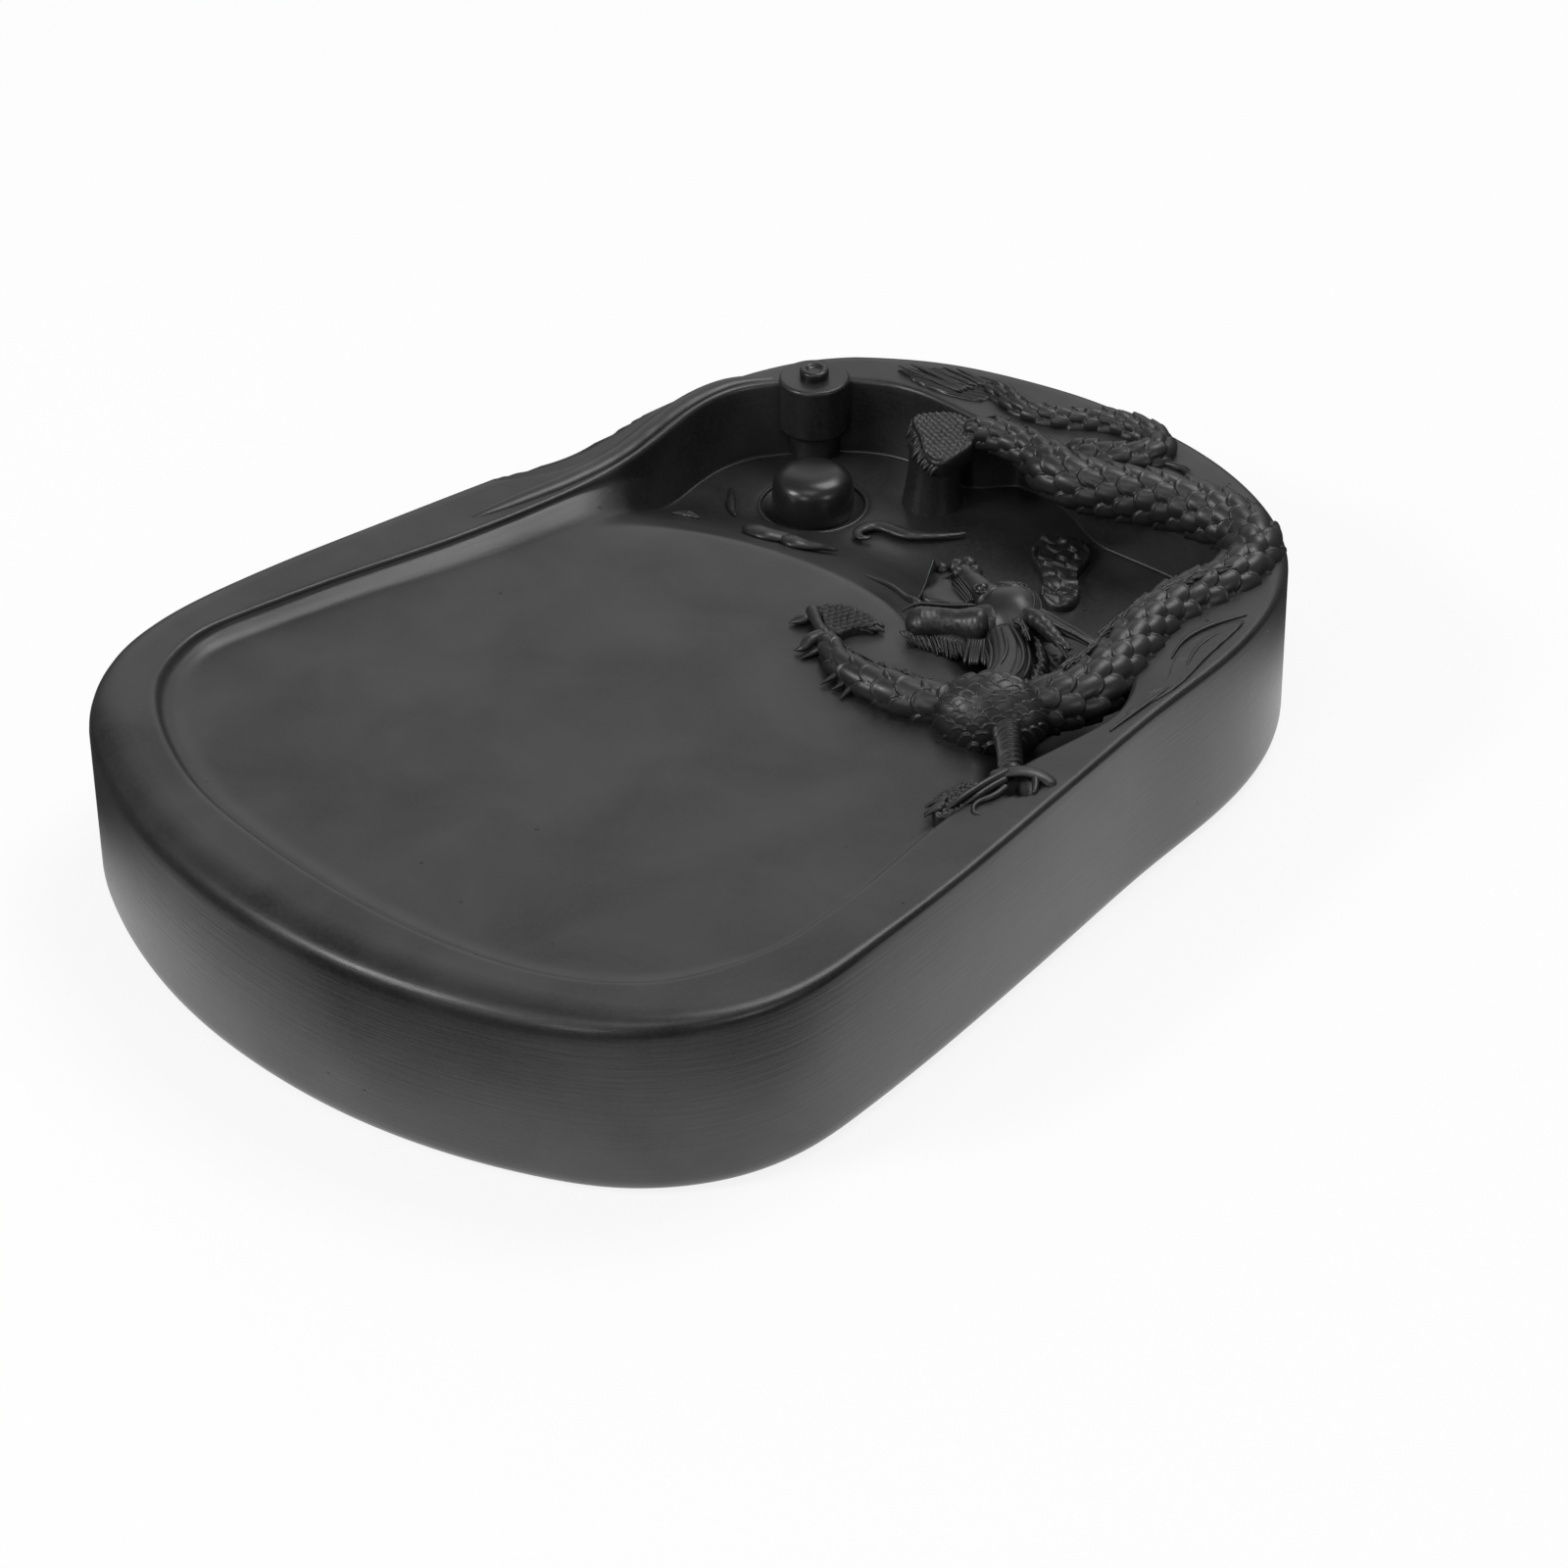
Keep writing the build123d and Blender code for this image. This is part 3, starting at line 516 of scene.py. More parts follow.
block = {
    "halfWidth": 55.0, "halfLength": 75.0, "rim": 23.6, "bed": 21.5, "well": 13.2,
    "around": 560, "crestSteps": 4000, "rimRows": 22, "floorRows": 83, "centre": (-3.0, -5.0),
    "outline": [
        (0.00, 1.000), (0.24, 0.985), (0.455, 0.932), (0.60, 0.86), (0.70, 0.77),
        (0.77, 0.665), (0.82, 0.52), (0.85, 0.335), (0.885, 0.16), (0.92, 0.00),
        (0.95, -0.15), (0.978, -0.31), (0.995, -0.44), (1.00, -0.55), (0.968, -0.665),
        (0.90, -0.755), (0.80, -0.83), (0.655, -0.893), (0.47, -0.947), (0.24, -0.987),
        (0.00, -1.000), (-0.24, -0.987), (-0.47, -0.947), (-0.655, -0.893), (-0.80, -0.83),
        (-0.90, -0.755), (-0.968, -0.665), (-1.00, -0.55), (-0.993, -0.41), (-0.972, -0.27),
        (-0.945, -0.12), (-0.916, 0.03), (-0.888, 0.175), (-0.868, 0.335), (-0.855, 0.50),
        (-0.82, 0.645), (-0.75, 0.765), (-0.64, 0.85), (-0.49, 0.92), (-0.31, 0.968),
        (-0.12, 0.996)],
    "crest": [
        (0.00, -0.877), (0.23, -0.870), (0.39, -0.852), (0.53, -0.824), (0.665, -0.774),
        (0.74, -0.728), (0.80, -0.667), (0.838, -0.590), (0.858, -0.515), (0.853, -0.41),
        (0.840, -0.315), (0.818, -0.225), (0.794, -0.11), (0.780, 0.00), (0.780, 0.105),
        (0.792, 0.213), (0.783, 0.295), (0.735, 0.362), (0.672, 0.43), (0.633, 0.52),
        (0.622, 0.61), (0.615, 0.69), (0.572, 0.76), (0.482, 0.805), (0.327, 0.820),
        (0.145, 0.812), (-0.075, 0.806), (-0.24, 0.797), (-0.38, 0.798), (-0.505, 0.785),
        (-0.60, 0.745), (-0.705, 0.66), (-0.762, 0.59), (-0.775, 0.52), (-0.755, 0.43),
        (-0.722, 0.31), (-0.713, 0.19), (-0.728, 0.055), (-0.762, -0.105), (-0.806, -0.255),
        (-0.840, -0.385), (-0.864, -0.49), (-0.870, -0.553), (-0.850, -0.615), (-0.806, -0.678),
        (-0.725, -0.738), (-0.573, -0.803), (-0.41, -0.846), (-0.22, -0.868)],
    # Foot and underside.
    "footRound": 2.6, "footFlat": 7.0, "underShares": (0.25, 0.5, 0.75, 0.92),
    # Round of the rim's outer edge as its width and its drop, and where each one holds.
    "sideRound": (1.0, 0.9), "nearRound": (4.6, 3.0), "farRound": (2.6, 2.3), "roundShare": 0.46,
    "nearY": (-20, -62), "nearX": (70, 30), "farX": (-20, -45), "farY": (50, 66),
    # The waist on the left: a cone that is cut into the top of the wall.
    "waistCentre": (-66.8, 21.0), "waistTop": 24.0, "waistFoot": 18.0, "waistDepth": 2.2,
    # The bank that runs down from the crest: where it is a low slope (left), where it is lowest
    # (front), where it falls into the well (deep), and its angles in degrees.
    "leftX": (-20, -34), "leftNearY": (-52, -36), "leftFarY": (30, 8), "widenY": (-35, 8),
    "frontY": (-30, -50), "deepFall": (3.0, 7.0), "look": 2.0,
    "steep": 58, "steepMore": 27, "gentleLeft": 26, "gentleWiden": 12, "gentleFront": 33, "gentleDeep": 28,
    "stepLeft": 0.8, "stepShare": 0.5, "lipIn": 1.5,
    "crestRound": 0.7, "stepRound": 0.5, "coveRound": 1.6, "wellCove": 0.5, "nearCove": 1.6, "coveReach": 1.1,
    # The slope between bed and well, and the pit that holds the pearl.
    "slopeCentre": (-2.2, -28.0), "slopeTop": 50.0, "slopeFoot": 71.0, "slopeLeftX": (-37, -22),
    "crispLip": (-0.02, 0.06), "softLip": (-0.28, 0.55), "slopeEase": (0.6, 1.05),
    "pitCentre": (-27.0, 42.3), "pitRadius": 6.6, "pitDrop": 0.9, "pitEdge": (-1.4, 1.0),
    # Recess cut into the far bank, behind the hind leg.
    "recessX": (-13.0, -3.0), "recessY": 45, "recessZ": (22.8, 20.8), "recessDepth": 4.6,
    "recessLeft": (-3, 3), "recessRight": (11, -3),
    # Cut in the rim: place, half size along and across, turn in degrees, depth.
    "hollow": (45.5, 1.6, 2.2, 1.4, 45, 3.4),
    # The hand's unevenness, and the painted highlight line along the crest: its height, drop and width.
    "uneven": 0.10, "unevenGrain": 26, "unevenZ": (12, 20), "highlightDown": 0.35, "highlightTall": 0.45, "highlightWide": 0.8,
}
blockShares = np.array([block["halfWidth"], block["halfLength"]])


def floorHeight(x, y):
    # Bed height less the fall of the slope: the fall starts at a lip that is crisp on the right
    # and soft on the left, runs straight, and eases out onto the well floor, where a round pit
    # holds the pearl.
    reach = np.hypot(x - block["slopeCentre"][0], y - block["slopeCentre"][1])
    share = (reach - block["slopeTop"]) / (block["slopeFoot"] - block["slopeTop"])
    steps = np.linspace(-0.3, 1.2, 600)
    eased = 1 - smoothBetween(*block["slopeEase"], steps)
    crisp = smoothBetween(*block["crispLip"], steps) * eased
    soft = smoothBetween(*block["softLip"], steps) * eased
    crispFall = np.interp(share, steps, np.cumsum(crisp) / crisp.sum())
    softFall = np.interp(share, steps, np.cumsum(soft) / soft.sum())
    blend = smoothBetween(*block["slopeLeftX"], x)
    height = block["bed"] - (block["bed"] - block["well"]) * (softFall * (1 - blend) + crispFall * blend)
    away = np.hypot(x - block["pitCentre"][0], y - block["pitCentre"][1]) - block["pitRadius"]
    return height - block["pitDrop"] * (1 - smoothBetween(*block["pitEdge"], away))


def roundedProfile(corners, rounds, bendRows, straightRows):
    # The corners joined by straight runs, each inner corner replaced by a quadratic curve that
    # starts and ends at its rounding's distances before and behind it.
    # corners: (runs, corners, 2); rounds: (runs, inner corners, 2).
    runs = np.diff(corners, axis=1)
    lengths = np.linalg.norm(runs, axis=2)
    ways = runs / np.maximum(lengths, 1e-6)[..., None]
    before = np.minimum(rounds[..., 0], 0.48 * lengths[:, :-1])  # just under half a run
    behind = np.minimum(rounds[..., 1], 0.48 * lengths[:, 1:])
    entering = corners[:, 1:-1] - ways[:, :-1] * before[..., None]
    leaving = corners[:, 1:-1] + ways[:, 1:] * behind[..., None]
    share = np.linspace(0, 1, bendRows)[:, None]
    parts, start = [], corners[:, :1]
    for index in range(rounds.shape[1]):
        run = np.linspace(0, 1, straightRows[index] + 1)[1:-1][:, None]
        parts.append(start + (entering[:, index:index + 1] - start) * run)
        middle = corners[:, index + 1:index + 2]
        parts.append((1 - share) ** 2 * entering[:, index:index + 1] + 2 * share * (1 - share) * middle
                     + share ** 2 * leaving[:, index:index + 1])
        start = leaving[:, index:index + 1]
    return np.concatenate([corners[:, :1]] + parts + [corners[:, -1:]], axis=1)


def inwardOf(line):
    # Level direction square to a closed line, turned towards its inside.
    along = unit(np.roll(line, -1, axis=0) - np.roll(line, 1, axis=0))
    inward = np.stack([-along[:, 1], along[:, 0]], -1)
    area = np.sum(line[:, 0] * np.roll(line[:, 1], -1) - line[:, 1] * np.roll(line[:, 0], -1))
    return inward if area > 0 else -inward


def facing(line, outline):
    # The point of a closed line that lies on each outline point's ray from the block's centre.
    centre = np.array(block["centre"])
    angles = np.arctan2(*(outline - centre).T[::-1])
    lineAngles = np.arctan2(*(line - centre).T[::-1])
    order = np.argsort(lineAngles)
    return np.stack([np.interp(angles, lineAngles[order], line[order, axis], period=2 * np.pi)
                     for axis in (0, 1)], -1)


def makeOuterWall(outline):
    # Foot round, upright wall, and a top round that is broad at the near end only; the waist's
    # cone pushes in what lies within it: radius = foot + (top - foot) * climb.
    count, rim = len(outline), block["rim"]
    near = smoothBetween(*block["nearY"], outline[:, 1]) * smoothBetween(*block["nearX"], outline[:, 0])
    far = np.maximum(smoothBetween(*block["farX"], outline[:, 0]),
                     smoothBetween(*block["farY"], outline[:, 1]))
    far = far * (1 - near)
    wide, drop = (side + (nearSize - side) * near + (farSize - side) * far for side, nearSize, farSize
                  in zip(block["sideRound"], block["nearRound"], block["farRound"]))
    corners = np.zeros((count, 4, 2))
    corners[:, 0] = [block["footFlat"], 0]
    corners[:, 1] = [0, 0]
    corners[:, 2] = [0, rim]
    corners[:, 3] = np.stack([wide / block["roundShare"], np.full(count, rim)], -1)
    rounds = np.zeros((count, 2, 2))
    rounds[:, 0] = block["footRound"]
    rounds[:, 1] = np.stack([drop, wide], -1)
    outer = roundedProfile(corners, rounds, 9, [2, 18])[:, :-1]
    wall = np.concatenate([outline[:, None] + inwardOf(outline)[:, None] * outer[:, :, :1], outer[:, :, 1:]],
                          -1)
    away = wall[:, :, :2] - block["waistCentre"]
    reach = np.linalg.norm(away, axis=-1)
    climb = np.clip((wall[:, :, 2] - rim + block["waistDepth"]) / block["waistDepth"], 0, 1.2)
    cone = np.where(climb > 0, block["waistFoot"] + (block["waistTop"] - block["waistFoot"]) * climb, 0)
    push = np.where(reach < cone, cone / np.maximum(reach, 1e-6), 1)[..., None]
    wall[:, :, :2] = block["waistCentre"] + away * push
    return wall


def makeBank(crest):
    # From the crest down to the bed or the well: a short step, then a run to its foot, at
    # foot = step / tan(steep) + (fall - step) / tan(gentle), and a cove onto the floor.
    count, rim = len(crest), block["rim"]
    crestIn = inwardOf(crest)
    left = (smoothBetween(*block["leftX"], crest[:, 0]) * smoothBetween(*block["leftNearY"], crest[:, 1])
            * smoothBetween(*block["leftFarY"], crest[:, 1]))
    at = crest + crestIn * block["look"]
    fall = rim - floorHeight(at[:, 0], at[:, 1])
    deep = smoothBetween(*block["deepFall"], fall)
    steep = np.radians(block["steep"] + block["steepMore"] * np.maximum(deep, left))
    front = smoothBetween(*block["frontY"], crest[:, 1]) * (1 - left)
    widening = smoothBetween(*block["widenY"], crest[:, 1])
    gentle = np.radians(block["steep"] - (block["gentleLeft"] + block["gentleWiden"] * widening) * left
                        - block["gentleFront"] * front + block["gentleDeep"] * deep * (1 - left))
    step = block["stepLeft"] * left + fall * block["stepShare"] * (1 - left)
    foot = step / np.tan(steep) + (fall - step) / np.tan(gentle)
    at = crest + crestIn * foot[:, None]
    fall = rim - floorHeight(at[:, 0], at[:, 1])
    corners = np.zeros((count, 5, 2))
    corners[:, 0] = [-block["lipIn"], rim]
    corners[:, 1] = [0, rim]
    corners[:, 2] = np.stack([step / np.tan(steep), rim - step], -1)
    foot = step / np.tan(steep) + (fall - step) / np.tan(gentle)
    corners[:, 3] = np.stack([foot, rim - fall], -1)
    cove = block["coveRound"] + (block["wellCove"] - block["coveRound"]) * deep + block["nearCove"] * front
    end = foot + cove * block["coveReach"]
    at = crest + crestIn * end[:, None]
    corners[:, 4] = np.stack([end, floorHeight(at[:, 0], at[:, 1])], -1)
    rounds = np.zeros((count, 3, 2))
    rounds[:, 0] = block["crestRound"]
    rounds[:, 1] = block["stepRound"]
    rounds[:, 2] = cove[:, None]
    inner = roundedProfile(corners, rounds, 7, [2, 4, 6])
    bank = np.concatenate([crest[:, None] + crestIn[:, None] * inner[:, :, :1], inner[:, :, 1:]], -1)
    low, high = block["recessX"]
    recess = (smoothBetween(*(low + edge for edge in block["recessLeft"]), bank[..., 0])
              * smoothBetween(*(high + edge for edge in block["recessRight"]), bank[..., 0]))
    recess = recess * (bank[..., 1] > block["recessY"]) * smoothBetween(*block["recessZ"], bank[..., 2])
    bank[..., :2] -= (crestIn * block["recessDepth"])[:, None] * recess[..., None]
    return bank


def makeRimTop(wall, bank):
    # Straight across between the two, less depth * exp(-(u^2 + v^2)^4) in the hollow.
    share = np.linspace(0, 1, block["rimRows"])[1:-1][None, :, None]
    top = wall[:, -1:] * (1 - share) + bank[:, :1] * share
    x, y, across, along, turn, depth = block["hollow"]
    spot = top[..., :2] - [x, y]
    turn = math.radians(turn)
    first = (spot[..., 0] * math.cos(turn) + spot[..., 1] * math.sin(turn)) / across
    second = (spot[..., 1] * math.cos(turn) - spot[..., 0] * math.sin(turn)) / along
    top[..., 2] -= depth * np.exp(-(first ** 2 + second ** 2) ** 4)
    return top


def makeBlock():
    # Closed rings, from the middle of the underside out to the foot, up the wall, over the rim,
    # down the bank and in to the middle of the floor.
    outline = splineThrough(np.array(block["outline"]) * blockShares, block["around"], True)
    crest = facing(splineThrough(np.array(block["crest"]) * blockShares, block["crestSteps"], True), outline)
    wall = makeOuterWall(outline)
    bank = makeBank(crest)
    top = makeRimTop(wall, bank)
    centre = np.array(block["centre"])
    share = np.linspace(0, 1, block["floorRows"])[1:-1][None, :, None]
    ground = bank[:, -1:, :2] * (1 - share) + centre * share
    ground = np.concatenate([ground, floorHeight(ground[..., 0], ground[..., 1])[..., None]], -1)
    under = wall[:, :1] * np.array(block["underShares"])[None, :, None]
    rows = np.concatenate([under, wall, top, bank, ground], axis=1)
    seen = rows[:, len(block["underShares"]):]
    seen[..., 2] += (block["uneven"] * rumple(seen[..., :2], block["unevenGrain"], 3)
                     * smoothBetween(*block["unevenZ"], seen[..., 2]))
    poles = np.array([[0, 0, 0], [*centre, float(floorHeight(*centre))]])
    quads, fans = tubeFaces(1, rows.shape[1], block["around"])
    # Painted highlight: a thin band along the crest, just under the rim top, painted lighter where its edge
    # shines.
    away = np.linalg.norm(rows[..., :2] - crest[:, None], axis=-1)
    paintedHighlight = (np.exp(-(((rows[..., 2] - block["rim"] + block["highlightDown"]) / block["highlightTall"]) ** 2))
              * np.exp(-(away / block["highlightWide"]) ** 2))
    return (np.concatenate([rows.transpose(1, 0, 2).reshape(-1, 3), poles]), quads, fans,
            np.concatenate([paintedHighlight.T.ravel(), [0, 0]]))


addPiece("inkStoneBlock", makeBlock(), slabStone, "slab_stone", "ink_slab")
print("block made")


# Rim details and pearl

bead = {
    "path": [(-43.7, -2.2), (-42.4, 6.0), (-41.4, 14.2), (-41.6, 22.1), (-43.4, 30.8),
             (-44.5, 38.2), (-43.6, 45.0), (-40.3, 49.9)],
    "level": 23.3, "wide": 1.5, "tall": 0.9, "end": 14.0, "rows": 220, "around": 24,
    "bumps": (0.04, 5, 8),
}


def makeBead():
    # Flattened round that thins over a long stretch towards both its ends.
    path = level(splineThrough(bead["path"], bead["rows"]), bead["level"])
    ends = roundedEnds(path, bead["end"])
    return sweep(path, bead["wide"] * ends, bead["tall"] * ends, bead["around"], limbBumps(*bead["bumps"]))


scroll = {
    "centre": (-36.6, 52.5), "radius": 4.6, "top": 24.1, "low": 13.0, "round": 0.5, "flatFrom": 0.2,
    "flatEdge": 0.6, "neckIn": 1.2, "neckTop": 4.0, "neckTall": 1.3, "neckPower": 1.5, "footTop": 2.5,
    "wallGap": 0.2, "sunk": 0.3, "around": 96,
}


def makeScroll():
    # Flat top, quarter round, upright wall, and a neck drawn in by neckIn * sin(a)^neckPower.
    radius, high, low = scroll["radius"], scroll["top"], scroll["low"]
    bend = np.linspace(0, np.pi / 2, 8)
    cap = np.stack([radius - scroll["round"] + scroll["round"] * np.cos(bend),
                    high - scroll["round"] + scroll["round"] * np.sin(bend)], -1)[::-1]
    flatTop = np.stack([np.linspace(scroll["flatFrom"], radius - scroll["flatEdge"], 8), np.full(8, high)],
                       -1)
    wallLow = low + scroll["neckTop"] + scroll["wallGap"]
    wall = np.stack([np.full(8, radius), np.linspace(high - scroll["flatEdge"], wallLow, 8)], -1)
    neck = np.stack([radius - scroll["neckIn"] * np.sin(bend) ** scroll["neckPower"],
                     low + scroll["neckTop"] - scroll["neckTall"] * (1 - np.cos(bend))], -1)
    foot = np.stack([np.full(6, radius - scroll["neckIn"]),
                     np.linspace(low + scroll["footTop"], low - scroll["sunk"], 6)], -1)
    return revolve(scroll["centre"], np.concatenate([flatTop, cap, wall, neck, foot]), scroll["around"])


button = {
    # Radius, and height below the button's top or, for the last two, above the scroll's top.
    "dish": [(0.1, -0.35), (0.6, -0.34), (0.9, -0.22), (1.15, -0.04), (1.4, 0), (1.65, -0.06), (1.82, -0.2),
             (1.9, -0.42), (1.9, -0.8)],
    "skirt": [(1.95, -0.2), (2.15, -0.3)], "top": 25.3, "rows": 40, "around": 72,
}


def makeButton():
    # Spline through the profile: a dished top, a round edge and a skirt that spreads at its foot.
    profile = ([(radius, button["top"] + rise) for radius, rise in button["dish"]]
               + [(radius, scroll["top"] + rise) for radius, rise in button["skirt"]])
    return revolve(scroll["centre"], splineThrough(profile, button["rows"]), button["around"])


addPiece("rimBeadBand", makeBead(), slabStone, "slab_stone", "rim_bead")
addPiece("rimScrollPost", makeScroll(), slabStone, "slab_stone", "rim_scroll_end")
addPiece("rimScrollButton", makeButton(), pearlStone, "pearl_stone", "rim_button")

pearl = {"centre": (-27.0, 42.3), "level": 14.4, "radius": 5.3, "halfHeight": 4.0, "power": 3.4, "rows": 60}
pearlCup = {"out": 7.3, "in": 6.6, "top": 13.3, "low": 12.0, "squareness": 0.6, "corners": 20}


def bowed(wave, power):
    # Sign of the wave times its size to a power: under 1, a circle's sides turn square.
    return np.sign(wave) * np.abs(wave) ** power


def makePearlCup():
    # Ring whose section is a rounded square.
    turns = np.linspace(0, 2 * np.pi, pearlCup["corners"], endpoint=False)
    middle, half = (pearlCup["out"] + pearlCup["in"]) / 2, (pearlCup["out"] - pearlCup["in"]) / 2
    height, tall = (pearlCup["top"] + pearlCup["low"]) / 2, (pearlCup["top"] - pearlCup["low"]) / 2
    profile = np.stack([middle + half * bowed(np.cos(turns), pearlCup["squareness"]),
                        height + tall * bowed(np.sin(turns), pearlCup["squareness"])], -1)
    return revolve(pearl["centre"], profile, 120, closed=True)


def makePearl():
    # Bun whose section follows (r / radius)^power + (z / halfHeight)^power = 1.
    bend = np.linspace(-np.pi / 2, np.pi / 2, pearl["rows"])[1:-1]
    share = 2 / pearl["power"]
    profile = np.stack([np.cos(bend) ** share * pearl["radius"],
                        pearl["level"] + bowed(np.sin(bend), share) * pearl["halfHeight"]], -1)
    return revolve(pearl["centre"], profile, 120)


addPiece("carvedPearl", makePearl(), pearlStone, "pearl_stone", "pearl")
addPiece("pearlCup", makePearlCup(), slabStone, "slab_stone", "pearl_seat")
print("rim details and pearl made")


# The dragon's body

def dragonScales(pitch, around, reach, rise, dome, seed, lip):
    # Relief for a limb: scale rows along it, their edges a little uneven.
    def relief(along, turn):
        place = aroundLimb(along, turn * around, pitch)
        uneven = 0.10 * rumple(place, pitch * 4, seed)
        lift = 1 + 0.25 * rumple(place, pitch * 3, seed + 1)
        return scales(along / pitch + uneven, turn * around + uneven * 0.6, reach, rise, dome, lip=lip) * lift
    return relief


trunk = {
    "path": [(33.5, 13.1), (36.0, 18.4), (37.2, 22.5), (36.9, 26.4), (34.7, 33.8), (33.1, 40.5),
             (33.2, 46.5), (33.9, 52.1), (32.8, 57.6), (30.1, 61.5), (26.4, 63.3), (21.0, 63.6),
             (16.1, 62.6), (11.5, 60.6), (7.0, 58.7), (2.4, 57.8), (-3.0, 58.6)],
    "level": 22.6, "radius": 3.2, "swellAt": (0, 0.06, 0.15, 0.7, 1), "swell": (0.80, 0.94, 1, 0.99, 0.9),
    "end": 3.5, "steps": 1000, "around": 150,
    # Start and end as shares of the path, and the rows between them.
    "front": (0.0, 0.56, 430), "rear": (0.52, 1.0, 370),
    "scales": {"pitch": 2.45, "around": 7, "reach": 1.4, "rise": 0.32, "dome": 0.5, "seed": 11, "lip": 0.17},
}


def makeTrunk(first, last, rows):
    # Stretch of the trunk's path, a round of radius * swell * ends.
    steps = trunk["steps"]
    path = splineThrough(level(trunk["path"], trunk["level"]), steps)
    swell = np.interp(np.linspace(0, 1, steps), trunk["swellAt"], trunk["swell"])
    pick = np.linspace(int(first * (steps - 1)), int(last * (steps - 1)), rows).round().astype(int)
    path, swell = path[pick], swell[pick]
    radius = trunk["radius"] * swell * roundedEnds(path, trunk["end"])
    return sweep(path, radius, radius, trunk["around"], dragonScales(**trunk["scales"]))


tail = {
    "path": [(0.0, 60.0), (3.9, 62.3), (7.0, 65.1), (8.1, 68.4), (5.9, 70.7), (1.7, 70.9),
             (-2.5, 69.3), (-5.0, 67.4), (-8.0, 65.9), (-11.4, 65.2), (-15.2, 65.9), (-19.0, 67.0)],
    "level": 23.5, "radii": (2.5, 1.2), "end": 2.0, "rows": 330, "around": 90,
    "scales": {"pitch": 1.95, "around": 6, "reach": 1.4, "rise": 0.22, "dome": 0.45, "seed": 21, "lip": 0.1},
}

addCarving("trunkFrontScales", makeTrunk(*trunk["front"]), "dragon_trunk_front")
addCarving("trunkRearScales", makeTrunk(*trunk["rear"]), "dragon_trunk_rear")
addCarving("tailScales", limb(level(tail["path"], tail["level"]), tail["radii"], tail["rows"], tail["around"],
                              dragonScales(**tail["scales"]), cap=tail["end"]), "dragon_tail")
print("trunk and tail made")


# Legs and paws

def curls(direction, pitch, rise):
    # Relief of small overlapping curls, in rows across a level direction given in degrees.
    angle = math.radians(direction)

    def relief(points):
        along = points[:, 0] * math.cos(angle) + points[:, 1] * math.sin(angle)
        across = points[:, 1] * math.cos(angle) - points[:, 0] * math.sin(angle)
        uneven = 0.2 * rumple(points[:, :2], pitch * 3, 5)
        return scales(along / pitch + uneven, across / pitch * 0.9 + uneven, 1.5, rise, rise * 0.7,
                      lip=rise * 0.4)
    return relief


leftForeleg = {
    "body": {"points": [(29.7, 10.5, 22.9), (26.0, 8.5, 22.7), (21.5, 7.2, 22.6), (17.0, 6.8, 22.5),
                        (13.0, 7.1, 22.5), (9.6, 8.4, 22.4), (6.6, 10.2, 22.3)],
             "radii": [2.4, 2.5, 2.4, 2.1, 1.8, 1.4, 1.1], "rows": 260, "around": 110, "flat": 0.95,
             "cap": 2.0},
    "scales": {"pitch": 2.7, "around": 5, "reach": 1.35, "rise": 0.34, "dome": 0.24, "seed": 31, "lip": 0.17},
    "ridge": {"line": [(9.6, 9.6, 23.2), (13.0, 8.8, 23.9), (16.0, 8.7, 24.1), (19.5, 9.2, 24.3),
                       (23.4, 9.9, 24.4), (26.6, 10.2, 24.4)],
              "count": 30, "reach": 0.16, "stray": 0.16, "thick": 0.2, "thin": 0.12, "seed": 32},
}
addCarving("leftForelegScales", together(
    limb(**leftForeleg["body"], relief=dragonScales(**leftForeleg["scales"])),
    creepers(**leftForeleg["ridge"])), "left_foreleg")

leftForepaw = {
    "toes": [
        {"points": [(0.5, 14.0, 22.2), (1.9, 12.9, 22.5), (3.5, 11.8, 22.6), (5.3, 10.8, 22.6),
                    (6.8, 10.2, 22.6)],
         "radii": [0.95, 0.85, 0.68, 0.7, 1.0], "rows": 60, "around": 20, "flat": 1.1},
        {"points": [(6.6, 10.6, 22.6), (5.7, 9.4, 22.6), (5.6, 8.2, 22.5), (5.7, 7.1, 22.2),
                    (4.9, 6.2, 21.9)],
         "radii": [1.1, 1.0, 0.9, 0.65, 0.14], "rows": 60, "around": 20, "flat": 0.8},
        {"points": [(7.2, 9.9, 22.1), (7.2, 8.0, 22.0), (7.0, 6.8, 21.9), (6.6, 5.7, 21.7)],
         "radii": [0.7, 0.6, 0.4, 0.1], "rows": 40, "around": 16, "flat": 0.8},
        {"points": [(1.6, 12.7, 22.2), (1.0, 11.7, 22.1), (0.2, 10.1, 21.8)],
         "radii": [1.15, 0.85, 0.1], "rows": 40, "around": 16, "flat": 0.6}],
    "palm": {"centre": (6.9, 10.1, 22.5), "size": (1.35, 1.25, 1.0), "turn": 30, "rows": 24, "around": 32},
}
addCarving("leftForepawClaws", together(
    *[limb(**toe) for toe in leftForepaw["toes"]], egg(**leftForepaw["palm"])), "left_forepaw")

leftPawHair = {
    "fan": {"outline": [(1.1, 14.7), (2.5, 16.4), (4.6, 17.5), (6.3, 17.4), (8.7, 17.1), (8.9, 15.9),
                        (7.5, 14.0), (7.0, 11.8), (5.6, 11.4), (3.6, 12.6), (2.2, 13.5)],
            "low": 20.9, "high": 22.5, "edge": 0.35, "rows": 40},
    "curls": {"direction": 40, "pitch": 0.85, "rise": 0.3},
    "tips": {"roots": [(6.4, 17.0, 22.3), (7.8, 16.4, 22.3), (7.6, 14.8, 22.3)],
             "tips": [(8.8, 17.5, 21.9), (9.7, 16.8, 21.9), (9.2, 15.4, 21.8)],
             "count": 9, "thick": 0.4, "thin": 0.15, "bow": (0, 0, 0.3), "seed": 33},
}
addCarving("leftPawHair", together(
    plate(**leftPawHair["fan"], relief=curls(**leftPawHair["curls"])),
    fringe(**leftPawHair["tips"])), "left_paw_hair")

